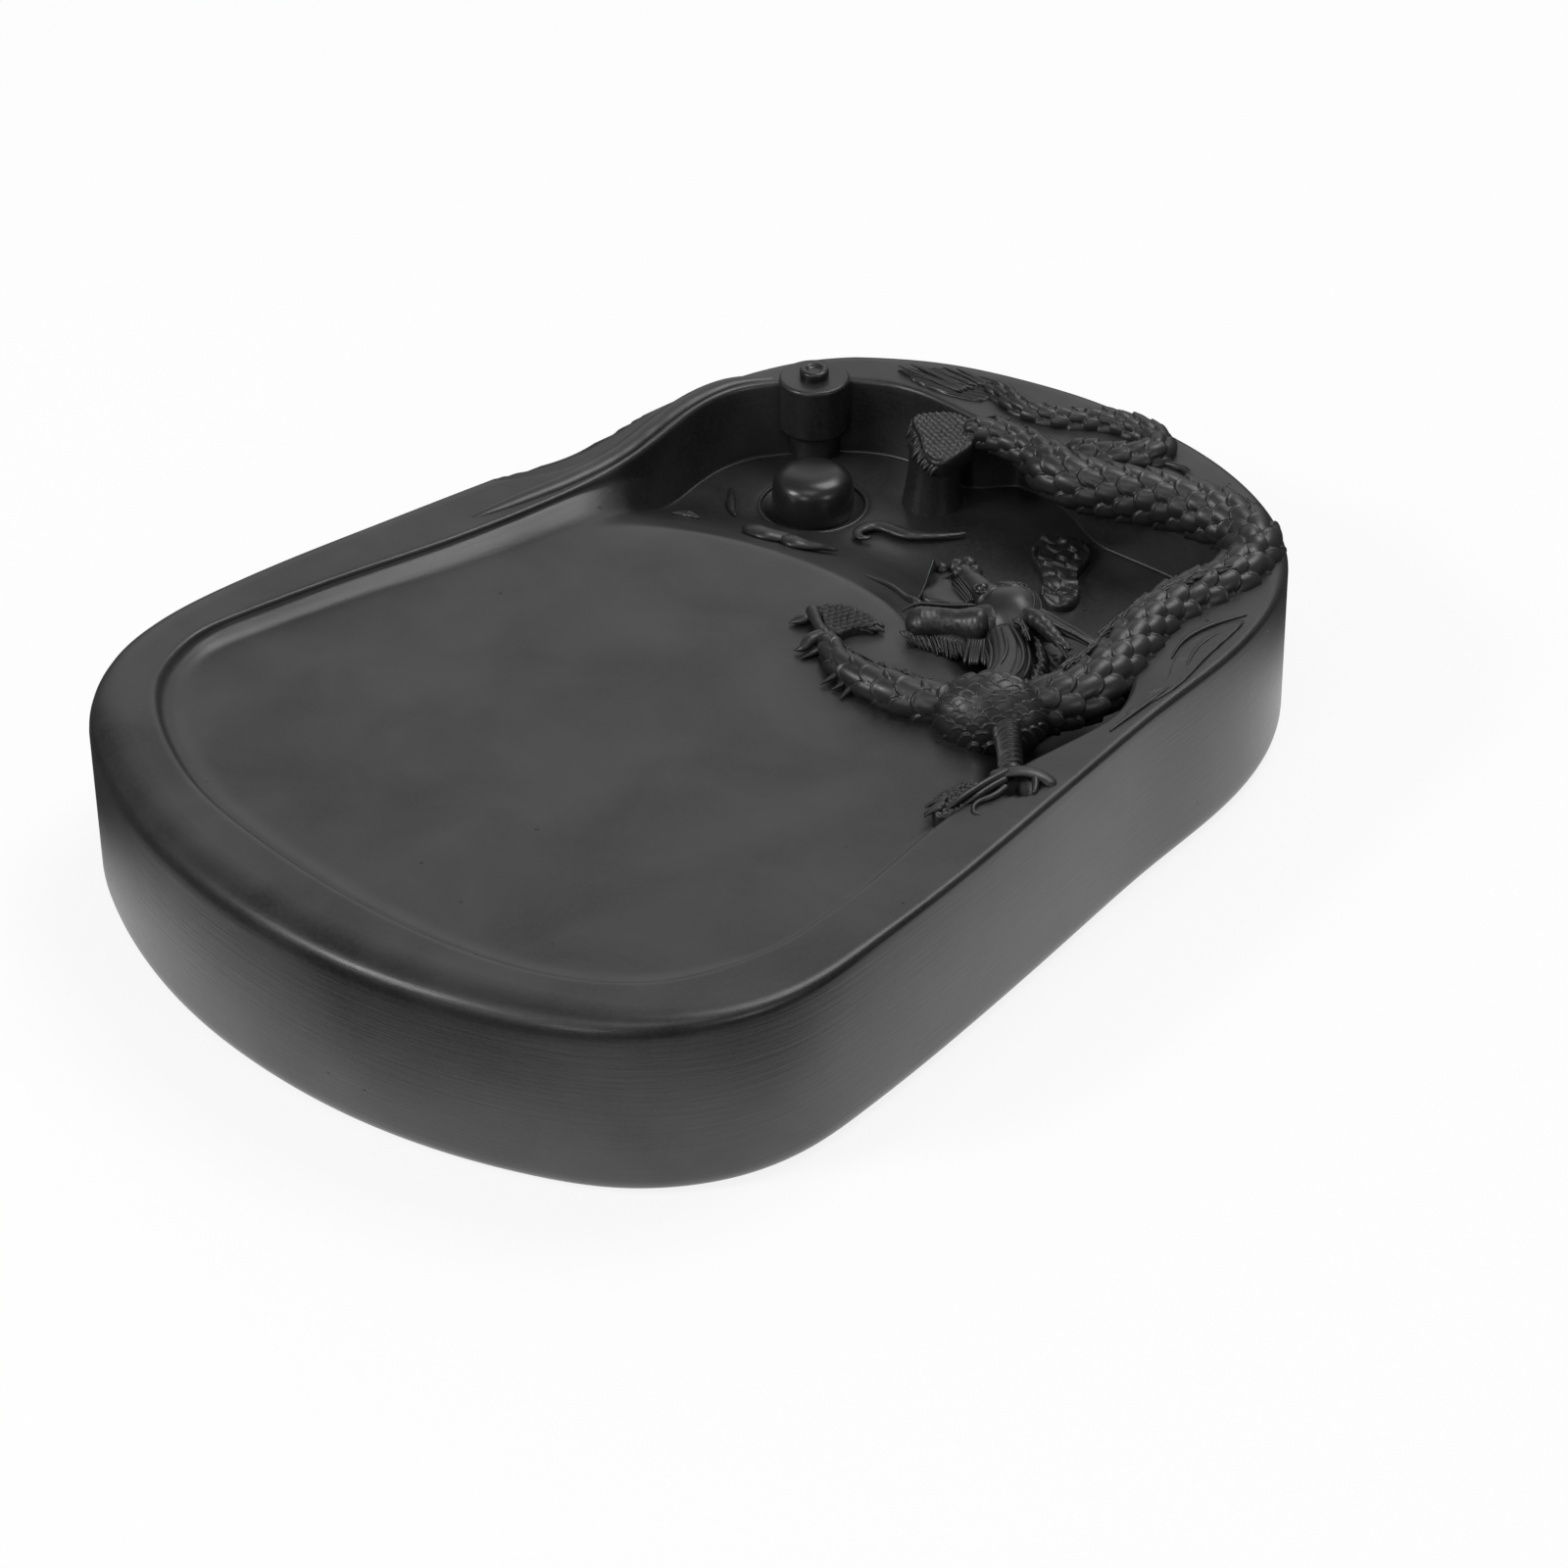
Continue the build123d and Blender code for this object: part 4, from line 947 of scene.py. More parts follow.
elbowSpikes = {
    "roots": [(13.3, 6.6, 22.5), (14.6, 6.2, 22.4), (16.0, 6.0, 22.3)],
    "middles": [(13.0, 4.9, 22.5), (14.8, 4.6, 22.3), (15.9, 4.2, 22.2)],
    "tips": [(12.4, 3.1, 21.8), (14.2, 3.3, 21.8), (16.2, 2.7, 21.7)],
    "thick": 0.66, "thin": 0.1, "rows": 24, "around": 12,
}
addCarving("elbowSpikes", strands(**elbowSpikes), "elbow_hair")

rightForeleg = {
    "body": {"points": [(35.0, 10.9, 23.2), (37.6, 8.4, 23.7), (39.9, 6.2, 23.9), (42.0, 4.1, 23.9),
                        (43.6, 2.4, 23.7)],
             "radii": [2.2, 1.6, 1.3, 1.25, 1.25], "rows": 200, "around": 90, "cap": 1.6},
    "bandPitch": 0.95, "bandsAround": 2, "bandUneven": 0.35, "bandRise": 0.34, "bandEdge": 0.14,
}


def wraps(along, turn):
    # Slanting bands wound round the foreleg, each lifting by rise * share^1.5 to a thin edge.
    uneven = rightForeleg["bandUneven"] * rumple(aroundLimb(along, turn, 8), 2.5, 34)
    phase = along / rightForeleg["bandPitch"] + rightForeleg["bandsAround"] * turn + uneven
    forward = phase - np.floor(phase)
    return rightForeleg["bandRise"] * forward ** 1.5 * np.clip((1 - forward) / rightForeleg["bandEdge"], 0, 1)


addCarving("rightForelegScales", limb(**rightForeleg["body"], relief=wraps), "right_foreleg")

rightForepaw = {
    "toes": [
        {"points": [(42.3, 0.2, 24.3), (43.4, 1.7, 24.5), (44.8, 3.2, 24.6), (46.2, 4.1, 24.4),
                    (47.4, 4.5, 24.0), (48.5, 4.5, 23.5)],
         "radii": [0.7, 0.95, 1.0, 0.95, 0.9, 0.75], "rows": 80, "around": 20, "flat": 0.42},
        {"points": [(46.3, 3.6, 24.3), (47.0, 2.9, 24.0), (47.9, 1.6, 23.7)],
         "radii": [0.5, 0.42, 0.3], "rows": 40, "around": 12},
        {"points": [(43.6, 2.2, 24.5), (43.2, -0.8, 24.4), (43.0, -3.9, 24.2), (42.9, -6.4, 23.9),
                    (42.8, -7.8, 23.5)],
         "radii": [0.55, 0.45, 0.42, 0.35, 0.15], "rows": 80, "around": 14, "flat": 1.2},
        {"points": [(44.2, 1.2, 24.2), (43.9, -1.8, 24.1), (43.8, -4.2, 23.9), (43.6, -5.6, 23.6)],
         "radii": [0.5, 0.42, 0.35, 0.12], "rows": 70, "around": 14, "flat": 1.2},
        {"points": [(44.9, 0.4, 24.0), (45.0, -2.4, 23.9), (44.6, -4.6, 23.8), (45.4, -5.7, 23.7),
                    (46.5, -5.4, 23.5)],
         "radii": [0.45, 0.4, 0.35, 0.3, 0.1], "rows": 70, "around": 14}],
}
addCarving("rightForepawToes", together(*[limb(**toe) for toe in rightForepaw["toes"]]), "right_forepaw")

rightPawHair = {
    "fan": {"outline": [(40.7, -1.2), (42.6, -0.4), (43.8, -3.0), (43.9, -6.6), (42.8, -9.0), (41.2, -8.2),
                        (40.2, -5.6), (40.0, -3.2)],
            "low": 20.9, "high": 23.3, "edge": 0.4, "rows": 36},
    "curls": {"direction": 250, "pitch": 0.8, "rise": 0.3},
    "tips": {"roots": [(41.0, -2.0, 23.4), (41.3, -5.0, 23.4), (42.3, -7.6, 23.5)],
             "tips": [(39.5, -4.2, 22.3), (39.9, -7.4, 22.4), (41.8, -10.0, 23.4)],
             "count": 14, "thick": 0.4, "thin": 0.15, "bow": (-0.2, 0.1, 0.4), "seed": 35},
}
addCarving("rightPawHair", together(
    plate(**rightPawHair["fan"], relief=curls(**rightPawHair["curls"])), fringe(**rightPawHair["tips"])),
    "right_paw_hair")

hindLeg = {
    "body": {"points": [(3.0, 58.0, 22.7), (-3.0, 58.9, 22.9), (-8.0, 59.0, 23.1), (-11.5, 58.0, 23.2),
                        (-13.8, 56.2, 23.2)],
             "radii": [2.9, 2.5, 2.0, 1.8, 1.5], "rows": 220, "around": 110, "cap": 2.0},
    "scales": {"pitch": 2.2, "around": 6, "reach": 1.4, "rise": 0.28, "dome": 0.45, "seed": 36, "lip": 0.15},
}
addCarving("hindLegScales", limb(**hindLeg["body"], relief=dragonScales(**hindLeg["scales"])), "hind_leg")

hindPaw = {
    "fan": {"outline": [(-20.0, 53.6), (-19.0, 55.8), (-16.4, 57.9), (-13.1, 57.9), (-11.3, 55.35),
                        (-10.9, 51.75), (-11.3, 49.1), (-12.8, 48.9), (-14.7, 49.9), (-17.0, 51.6)],
            "low": 20.6, "high": 24.2, "edge": 0.5, "rows": 44},
    "curls": {"direction": 200, "pitch": 0.72, "rise": 0.34}, "tip": 0.17, "tipFrom": 53.0, "tipWay": 0.71,
    "hair": [
        {"roots": [(-20.0, 53.9, 23.6), (-17.2, 52.0, 23.0), (-14.8, 50.2, 22.5), (-11.6, 49.4, 22.2)],
         "tips": [(-20.4, 52.9, 21.8), (-17.6, 51.1, 21.4), (-15.1, 49.3, 21.1), (-12.0, 48.4, 20.9)],
         "count": 26, "thick": 0.42, "thin": 0.2, "bow": (-0.3, -0.4, 0.1), "seed": 7},
        {"roots": [(-13.6, 58.6, 23.8), (-8.4, 60.2, 24.0)],
         "tips": [(-12.4, 60.4, 24.6), (-7.0, 61.4, 24.4)], "count": 18, "thick": 0.32, "thin": 0.12,
         "bow": (0, 0.2, 0.3), "seed": 8}],
}
pawCurls = curls(**hindPaw["curls"])


def tippedCurls(points):
    # Curls on a face that drops by tip for each millimetre nearer to the pool.
    nearer = np.clip((points[:, 0] - points[:, 1]) * hindPaw["tipWay"] + hindPaw["tipFrom"], 0, None)
    return pawCurls(points) - hindPaw["tip"] * nearer


addCarving("hindPawFan", together(
    plate(**hindPaw["fan"], relief=tippedCurls), *[fringe(**hair) for hair in hindPaw["hair"]]), "hind_paw")

pawRock = {"centre": (-16.4, 53.6), "foot": 4.1, "top": 3.1, "low": 12.6, "high": 22.2, "rows": 40,
           "around": 90, "uneven": 0.05, "grain": 9}


def makePawRock():
    # Pillar that narrows from a spread foot, radius = top + (foot - top) * (1 - share)^2.
    share = np.linspace(0, 1, pawRock["rows"])
    radius = pawRock["top"] + (pawRock["foot"] - pawRock["top"]) * (1 - share) ** 2
    levels = pawRock["low"] + (pawRock["high"] - pawRock["low"]) * share
    profile = np.stack([radius, levels], -1)
    vertices, quads, fans, height = revolve(pawRock["centre"], profile, pawRock["around"])
    swell = 1 + pawRock["uneven"] * rumple(vertices, pawRock["grain"], 12)[:, None]
    vertices[:, :2] = pawRock["centre"] + (vertices[:, :2] - pawRock["centre"]) * swell
    return vertices, quads, fans, height


addPiece("hindPawRock", makePawRock(), slabStone, "slab_stone", "paw_rock")
print("legs and paws made")


# Chest, neck and head

chest = {
    "body": {"centre": (32.4, 11.3, 22.6), "size": (6.5, 5.8, 4.2), "turn": 35, "rows": 150, "around": 230},
    # The level way across the rows, and how far the way square to it and the height count as down.
    "way": (0.77, 0.64), "levelShare": 0.86, "upShare": 0.5, "riseShare": 0.9,
    "downBumps": (0.25, 4.0, 41), "acrossBumps": (0.35, 3.0, 42), "riseBumps": (0.3, 3.0, 43),
    "rowPitch": 0.85, "rowWidth": 2.1, "reach": 1.6, "rise": 0.55, "dome": 0.1, "tipStart": 0.45, "lip": 0.24,
    "hem": {"line": [(27.0, 8.2, 21.6), (29.4, 6.6, 21.7), (32.6, 5.7, 21.9), (36.2, 6.6, 22.3)],
            "radii": [0.15, 0.25, 0.25, 0.12]},
}


def chestRows(points):
    # Crescents in staggered rows: rows climb from the foreleg to the neck, each crescent lifts
    # to a thin curved lip.
    first, second = chest["way"]
    down = ((points[:, 0] * second - points[:, 1] * first) * chest["levelShare"]
            - points[:, 2] * chest["upShare"] + bumps(*chest["downBumps"])(points))
    across = points[:, 0] * first + points[:, 1] * second + bumps(*chest["acrossBumps"])(points)
    rows = scales(-down / chest["rowPitch"], across / chest["rowWidth"],
                  *(chest[key] for key in ("reach", "rise", "dome", "tipStart", "lip")))
    return rows * (chest["riseShare"] + bumps(*chest["riseBumps"])(points))


addCarving("chestRows", together(egg(**chest["body"], relief=chestRows), cord(**chest["hem"])), "chest")

neck = {
    "body": {"points": [(31.2, 12.4, 22.7), (30.2, 15.4, 22.8), (28.7, 18.3, 22.9), (26.4, 21.0, 23.0),
                        (23.7, 23.2, 23.1), (21.4, 24.8, 23.3)],
             "radii": [3.2, 2.8, 2.6, 2.5, 2.35, 2.2], "rows": 120, "around": 60, "cap": 2.4},
    "ridge": 0.08, "ridges": 19, "stray": 0.3,
    "arcs": [[(23.0, 20.4), (25.0, 18.9), (26.8, 16.8)],
             [(22.7, 21.3), (24.8, 19.6), (26.6, 17.4), (27.8, 15.4)],
             [(23.0, 23.2), (25.9, 21.0), (27.8, 18.7), (28.6, 16.3)],
             [(23.4, 24.2), (26.4, 22.7), (29.2, 20.4), (30.8, 17.6), (31.4, 15.3)],
             [(24.9, 25.2), (27.6, 23.1), (30.2, 20.1), (31.5, 17.6), (32.3, 15.4)]],
    "arcOn": 2.55, "arcOver": 0.06, "arcRadii": [0.1, 0.27, 0.27, 0.1],
    "hair": {"roots": [(19.6, 21.6, 23.1), (21.6, 22.4, 23.3)],
             "tips": [(21.4, 18.9, 21.4), (23.6, 19.9, 21.6)], "count": 7, "thick": 0.42, "thin": 0.3,
             "bow": (0, 0, 0.5), "seed": 45, "stray": 0.05},
}


def neckRidges(along, turn):
    # Ridges that run along the neck: ridge * cos(2 pi * (ridges * turn + stray * unevenness)).
    uneven = neck["stray"] * rumple(aroundLimb(along, turn, 15), 6, 44)
    return neck["ridge"] * np.cos(2 * np.pi * (turn * neck["ridges"] + uneven))


addCarving("neckBand", together(
    limb(**neck["body"], relief=neckRidges),
    *[cord(drape(arc, neck["body"]["points"], neck["arcOn"], neck["arcOver"]), neck["arcRadii"])
      for arc in neck["arcs"]],
    fringe(**neck["hair"])), "neck")

skull = {
    "dome": {"centre": (20.4, 28.1, 22.0), "size": (5.5, 4.7, 5.0), "turn": -25, "rows": 80, "around": 110},
    "cheek": {"centre": (19.6, 25.3, 23.7), "size": (3.2, 2.5, 2.1), "turn": 35, "rows": 50, "around": 70},
    "domeBumps": (0.08, 4, 46), "cheekBumps": (0.07, 1.3, 47),
    "arcs": [[(20.6, 31.4), (23.0, 30.2), (24.6, 28.4)], [(20.0, 30.9), (22.4, 29.7), (23.9, 27.9)]],
    "arcOver": -0.02, "arcRadii": [0.08, 0.2, 0.08],
}
domePlace = [skull["dome"][key] for key in ("centre", "size", "turn")]
addCarving("skullDome", together(
    egg(**skull["dome"], relief=bumps(*skull["domeBumps"])),
    egg(**skull["cheek"], relief=bumps(*skull["cheekBumps"])),
    *[cord(onEgg(arc, *domePlace, skull["arcOver"]), skull["arcRadii"]) for arc in skull["arcs"]]), "skull")

upperJaw = {
    "body": {"points": [(18.6, 27.4, 24.2), (15.2, 28.6, 24.0), (11.8, 29.7, 24.0), (9.2, 30.2, 23.9)],
             "radii": [2.6, 1.9, 1.55, 1.6], "rows": 80, "around": 40, "cap": 1.4},
    # Lumps of the nose: centre and radius.
    "lumps": [((8.3, 28.7, 24.6), 0.85), ((9.5, 30.1, 24.8), 1.05), ((9.9, 31.7, 24.6), 1.0),
              ((11.9, 30.7, 24.8), 0.95), ((10.6, 29.0, 25.0), 0.75)],
    "bumps": (0.12, 1.0, 48),
}
addCarving("upperJaw", together(
    limb(**upperJaw["body"]),
    *[egg(centre, [radius] * 3, 0, 24, 32, bumps(*upperJaw["bumps"]))
      for centre, radius in upperJaw["lumps"]]), "snout")

lowerJaw = {
    "body": {"points": [(20.6, 24.3, 23.8), (18.0, 22.8, 23.6), (15.3, 21.0, 23.4), (13.0, 19.2, 23.2),
                        (11.9, 18.3, 23.1)],
             "radii": [2.5, 2.3, 1.8, 1.85, 2.1, 1.75], "rows": 110, "around": 50, "cap": 1.6},
    "swells": (0.2, 3.4, 49, 11), "bumps": (0.05, 0.9, 72, 11),
    "lip": {"line": [(10.9, 18.6, 24.3), (11.6, 20.4, 24.8), (14.1, 22.3, 25.0), (16.1, 23.8, 25.1),
                     (17.3, 25.2, 25.0)],
            "radii": [0.15, 0.24, 0.22, 0.2, 0.12], "rows": 70, "around": 10},
}


def jawSwells(along, turn):
    # Long swells with small unevenness on them.
    return limbBumps(*lowerJaw["swells"])(along, turn) + limbBumps(*lowerJaw["bumps"])(along, turn)


addCarving("lowerJaw", together(limb(**lowerJaw["body"], relief=jawSwells), cord(**lowerJaw["lip"])),
           "lower_jaw")

mouth = {
    "web": {"outline": [(7.2, 28.6), (8.2, 26.2), (9.3, 24.0), (10.8, 22.6), (13.8, 23.9), (16.4, 25.8),
                        (14.6, 28.0), (10.6, 29.4)],
            "low": 20.8, "high": 24.5, "edge": 0.5, "rows": 20, "around": 90},
    "bumps": (0.3, 4.0, 71),
    "edge": {"points": [(7.4, 28.3, 24.6), (8.7, 26.0, 24.0), (9.6, 24.2, 23.4), (10.6, 21.8, 23.2)],
             "radii": [0.34, 0.36, 0.32, 0.24], "rows": 60, "around": 20, "flat": 5.0, "cap": 0.3},
    "fold": {"line": [(10.3, 28.6, 25.0), (9.7, 26.8, 24.3), (9.4, 25.0, 23.5), (9.9, 23.2, 22.9)],
             "radii": [0.15, 0.2, 0.18, 0.1]},
    "ridges": {"roots": [(10.4, 29.0, 24.8), (10.8, 28.0, 24.6), (11.3, 26.8, 24.2)],
               "tips": [(16.1, 26.7, 24.8), (15.9, 25.8, 24.6), (15.6, 24.9, 24.2)],
               "count": 6, "thick": 0.2, "thin": 0.2, "bow": (0, 0, 0.25), "seed": 50, "stray": 0.04},
}
addCarving("mouthFolds", together(
    plate(**mouth["web"], relief=bumps(*mouth["bumps"])),
    limb(**mouth["edge"]), cord(**mouth["fold"]), fringe(**mouth["ridges"])))

beard = {
    "long": {"roots": [(12.3, 17.0, 22.9), (13.7, 18.2, 22.9), (15.2, 20.0, 22.9), (17.2, 21.2, 22.9),
                       (19.4, 21.9, 23.0)],
             "tips": [(14.4, 17.0, 21.6), (16.3, 17.6, 21.6), (18.1, 18.0, 21.6), (19.9, 18.9, 21.6),
                      (21.5, 20.8, 21.7)],
             "count": 62, "thick": 0.22, "thin": 0.09, "bow": (0.3, -0.3, 0.35), "seed": 53, "stray": 0.1},
    "body": {"points": [(12.8, 17.6, 21.9), (15.5, 19.6, 22.0), (19.5, 21.6, 22.0)],
             "radii": [0.7, 1.1, 1.2], "rows": 60, "around": 24},
    "groove": 0.08, "groovePitch": 0.45,
    "short": {"roots": [(12.6, 17.6, 22.6), (15.0, 20.4, 22.6), (19.0, 22.0, 22.6)],
              "tips": [(14.9, 17.5, 21.5), (17.4, 18.6, 21.5), (20.6, 20.3, 21.5)],
              "count": 44, "thick": 0.26, "thin": 0.14, "bow": (0.2, -0.2, 0.3), "seed": 54, "stray": 0.1},
}


def beardGrooves(along, turn):
    # Grooves across the beard's body: groove * cos(2 pi * along / groovePitch).
    return beard["groove"] * np.cos(2 * np.pi * along / beard["groovePitch"])


addCarving("beardStrands", together(
    fringe(**beard["long"]),
    limb(**beard["body"], relief=beardGrooves),
    fringe(**beard["short"])), "beard")

mane = {
    "body": {"outline": [(24.4, 27.7), (27.0, 29.4), (31.2, 24.8), (34.0, 19.4), (32.9, 16.6), (30.0, 19.1),
                         (27.0, 23.3)],
             "low": 12.4, "high": 22.3, "edge": 1.2, "rows": 12, "around": 120},
    "bumps": (0.2, 1.0, 55),
    "hair": {"roots": [(26.6, 25.2, 24.3), (28.6, 23.8, 24.3), (30.6, 21.2, 24.0), (31.9, 18.2, 23.7)],
             "tips": [(28.9, 26.0, 16.0), (31.4, 23.2, 15.4), (33.2, 20.6, 15.6), (34.2, 18.2, 17.0)],
             "count": 64, "thick": 0.32, "thin": 0.16, "bow": (1.0, 0.0, 2.4), "seed": 56, "stray": 0.16},
}
addCarving("maneStrands", together(
    plate(**mane["body"], relief=bumps(*mane["bumps"])),
    fringe(**mane["hair"])), "mane")

eyes = {
    # Piece, node and centre of each eye.
    "places": [("eyeNearKnob", "eye_near", (16.3, 27.2, 25.9)),
               ("eyeFarKnob", "eye_far", (19.0, 30.8, 25.5))],
    "radius": 0.85, "lidRadius": 0.95, "lidRise": 0.15, "lidRadii": [0.17, 0.2, 0.17], "lidSteps": 24,
}
for pieceName, nodeName, eyeCentre in eyes["places"]:
    turns = np.append(np.linspace(0, 2 * np.pi, eyes["lidSteps"], endpoint=False), 0)
    lid = np.stack([np.cos(turns), np.sin(turns), np.full(len(turns), eyes["lidRise"])], -1)
    addPiece(pieceName, together(egg(eyeCentre, [eyes["radius"]] * 3, 0, 30, 40),
                                 cord(np.array(eyeCentre) + eyes["lidRadius"] * lid, eyes["lidRadii"])),
             pearlStone, "carved_stone", nodeName)

brow = {
    "body": {"points": [(17.2, 28.6, 25.7), (18.9, 29.5, 25.9), (21.0, 30.1, 25.6)],
             "radii": [0.8, 1.0, 0.7], "rows": 60, "around": 36, "cap": 0.9},
    "bumps": (0.14, 0.8, 57),
    "hair": [
        {"line": [(21.7, 25.4, 25.2), (23.1, 25.6, 25.3), (25.0, 25.2, 25.2), (26.6, 24.2, 24.8)],
         "count": 22, "reach": 0.3, "stray": 0.25, "thick": 0.28, "thin": 0.12, "seed": 51},
        {"line": [(16.9, 29.2, 26.0), (18.6, 30.2, 26.2), (20.8, 30.8, 25.9)],
         "count": 20, "reach": 0.3, "stray": 0.22, "thick": 0.26, "thin": 0.1, "seed": 52}],
}
addCarving("browTuft", together(
    limb(**brow["body"], relief=limbBumps(*brow["bumps"])),
    *[creepers(**hair) for hair in brow["hair"]]), "brow")

upperHorn = {
    "body": {"points": [(24.2, 28.4, 25.0), (26.5, 28.0, 25.4), (28.7, 28.0, 25.4), (31.1, 28.2, 25.3),
                        (34.6, 28.2, 24.9)],
             "radii": [1.05, 0.95, 0.8, 0.62, 0.42], "rows": 110, "around": 40, "cap": 0.6},
    "groove": 0.08, "grooves": 6, "twist": 0.05,
    "hair": {"count": 14, "reach": 0.4, "stray": 0.16, "thick": 0.2, "thin": 0.1, "seed": 58, "lift": 0.3},
}


def hornGrooves(along, turn):
    # Grooves that wind slowly along the horn: groove * cos(2 pi * (grooves * turn + twist * along)).
    phase = turn * upperHorn["grooves"] + along * upperHorn["twist"]
    return upperHorn["groove"] * np.cos(2 * np.pi * phase)


addCarving("upperHorn", together(
    limb(**upperHorn["body"], relief=hornGrooves),
    creepers(upperHorn["body"]["points"][1:], **upperHorn["hair"])), "horn_upper")

lowerHorn = {
    "body": {"points": [(22.9, 27.4, 25.2), (25.2, 27.2, 25.5), (27.4, 26.7, 25.3), (29.4, 26.1, 25.1),
                        (32.0, 25.5, 24.9)],
             "radii": [1.0, 1.15, 1.0, 0.75, 0.45], "rows": 110, "around": 40, "cap": 0.6},
    "bumps": (0.12, 1.3, 59),
    "tines": {"roots": [(27.0, 26.6, 25.3), (28.4, 25.9, 25.2)],
              "tips": [(32.8, 24.4, 24.8), (32.2, 25.6, 25.1)], "count": 6, "thick": 0.32, "thin": 0.12,
              "bow": (0, 0, 0.2), "seed": 60},
}
addCarving("lowerHorn", together(
    limb(**lowerHorn["body"], relief=limbBumps(*lowerHorn["bumps"])),
    fringe(**lowerHorn["tines"])), "horn_lower")

whisker = {
    "hair": {"points": [(11.3, 21.2, 23.9), (9.4, 22.7, 23.3), (7.6, 23.4, 22.6), (4.7, 24.6, 21.9),
                        (2.1, 25.2, 21.5), (-1.2, 25.0, 21.4)],
             "radii": [0.5, 0.5, 0.42, 0.38, 0.3, 0.12], "rows": 90, "around": 16, "cap": 0.3},
    "root": {"centre": (10.6, 21.9, 23.8), "size": (0.7, 0.6, 0.6), "turn": 30, "rows": 20, "around": 24},
}
addCarving("whiskerHair", together(limb(**whisker["hair"]), egg(**whisker["root"])), "whisker")
print("chest, neck and head made")


# Fin, tuft, clouds and pool rock

def onFloor(line, over, rows=80):
    # Plan points laid over the floor: z = floor height + over.
    plan = splineThrough(line, rows)[:, :2]
    return np.column_stack([plan, floorHeight(plan[:, 0], plan[:, 1]) + over])


def makeRibbon(line, radii, flat, lump, seed, over, end=0.7, reach=4, grain=2.2):
    # Flattened round along a line on the floor, a little lumpy: height = width * flat.
    path = onFloor(line, over)
    radius = spread(radii, len(path)) * roundedEnds(path, end)
    return sweep(path, radius, radius * flat, 24, limbBumps(lump, grain, seed, reach))


spineFin = {
    "line": [(34.2, 20.5, 25.3), (34.2, 26.5, 25.4), (32.4, 32.5, 25.3), (31.7, 37.2, 25.4),
             (31.9, 41.0, 25.7), (32.9, 44.8, 26.1), (34.2, 49.2, 26.1), (35.4, 53.4, 25.6)],
    "count": 110, "reach": 0.1, "stray": 0.3, "thick": 0.26, "thin": 0.12, "seed": 63, "lift": 0.25,
}
addCarving("spineFin", creepers(**spineFin), "spine_fin")

tailTuft = {
    "body": {"outline": [(-28.0, 61.3), (-25.2, 64.6), (-21.6, 67.4), (-18.0, 67.9), (-16.6, 65.9),
                         (-17.0, 63.2), (-19.3, 61.9), (-23.7, 61.0)],
             "low": 21.9, "high": 23.95, "edge": 0.4, "rows": 40},
    "way": (0.94, 0.34), "groove": 0.1, "groovePitch": 0.75, "waver": 0.8, "waverGrain": 9,
    "uneven": 0.1, "stretch": 0.3, "grain": 2.4,
    "hair": {"roots": [(-20.0, 62.4, 23.9), (-19.6, 64.4, 23.9), (-18.6, 66.6, 23.9)],
             "tips": [(-30.6, 61.4, 23.6), (-28.0, 64.4, 23.6), (-24.4, 67.4, 23.6)],
             "count": 30, "thick": 0.3, "thin": 0.12, "bow": (0, 0, 0.25), "seed": 64},
}


def streaks(points):
    # Long fine grooves that run with the hair: groove * cos(2 pi * (across / pitch + waver)).
    first, second = tailTuft["way"]
    along = points[:, 0] * first + points[:, 1] * second
    across = points[:, 1] * first - points[:, 0] * second
    waver = tailTuft["waver"] * rumple(np.stack([along, across], -1), tailTuft["waverGrain"], 61)
    groove = np.cos(2 * np.pi * (across / tailTuft["groovePitch"] + waver))
    uneven = rumple(np.stack([along * tailTuft["stretch"], across], -1), tailTuft["grain"], 62)
    return tailTuft["groove"] * groove + tailTuft["uneven"] * uneven


addCarving("tailTuft", together(plate(**tailTuft["body"], relief=streaks), fringe(**tailTuft["hair"])),
           "tail_tuft")

rimTendril = {
    "line": [(9.4, 67.2, 23.6), (12.6, 67.9, 23.9), (15.6, 67.0, 23.8), (17.4, 65.9, 23.6)],
    "radii": [0.5, 0.45, 0.35, 0.1],
    "hair": {"count": 8, "reach": 0.5, "stray": 0.3, "thick": 0.25, "thin": 0.1, "seed": 65},
}
addCarving("rimTendril", together(
    cord(rimTendril["line"], rimTendril["radii"]), creepers(rimTendril["line"], **rimTendril["hair"])),
    "rim_tendril")

poolRock = {
    "body": {"outline": [(1.7, 52.3), (0.9, 55.2), (2.4, 57.9), (5.6, 58.3), (8.2, 56.4), (9.9, 52.1),
                         (13.4, 48.6), (14.0, 45.6), (10.9, 44.6), (8.4, 46.8), (6.2, 49.2), (3.6, 50.6)],
             "low": 12.4, "high": 13.95, "edge": 0.6, "rows": 60},
    "curls": {"direction": 250, "pitch": 2.1, "rise": 0.6}, "shift": 0.9, "shiftGrain": 4.5,
    "share": 0.75, "shareStray": 0.6, "shareGrain": 5, "swell": 0.3, "swellGrain": 3.0,
}


def flakes(points):
    # Broken flakes of uneven size: overlapping curls on a rumpled grid, with gentle swells.
    moved = points + poolRock["shift"] * np.stack(
        [rumple(points, poolRock["shiftGrain"], seed) for seed in (81, 82)], -1)
    share = poolRock["share"] + poolRock["shareStray"] * rumple(points, poolRock["shareGrain"], 83)
    return (curls(**poolRock["curls"])(moved) * share
            + poolRock["swell"] * rumple(points, poolRock["swellGrain"], 84))


addCarving("poolRock", plate(**poolRock["body"], relief=flakes), "pool_rock")

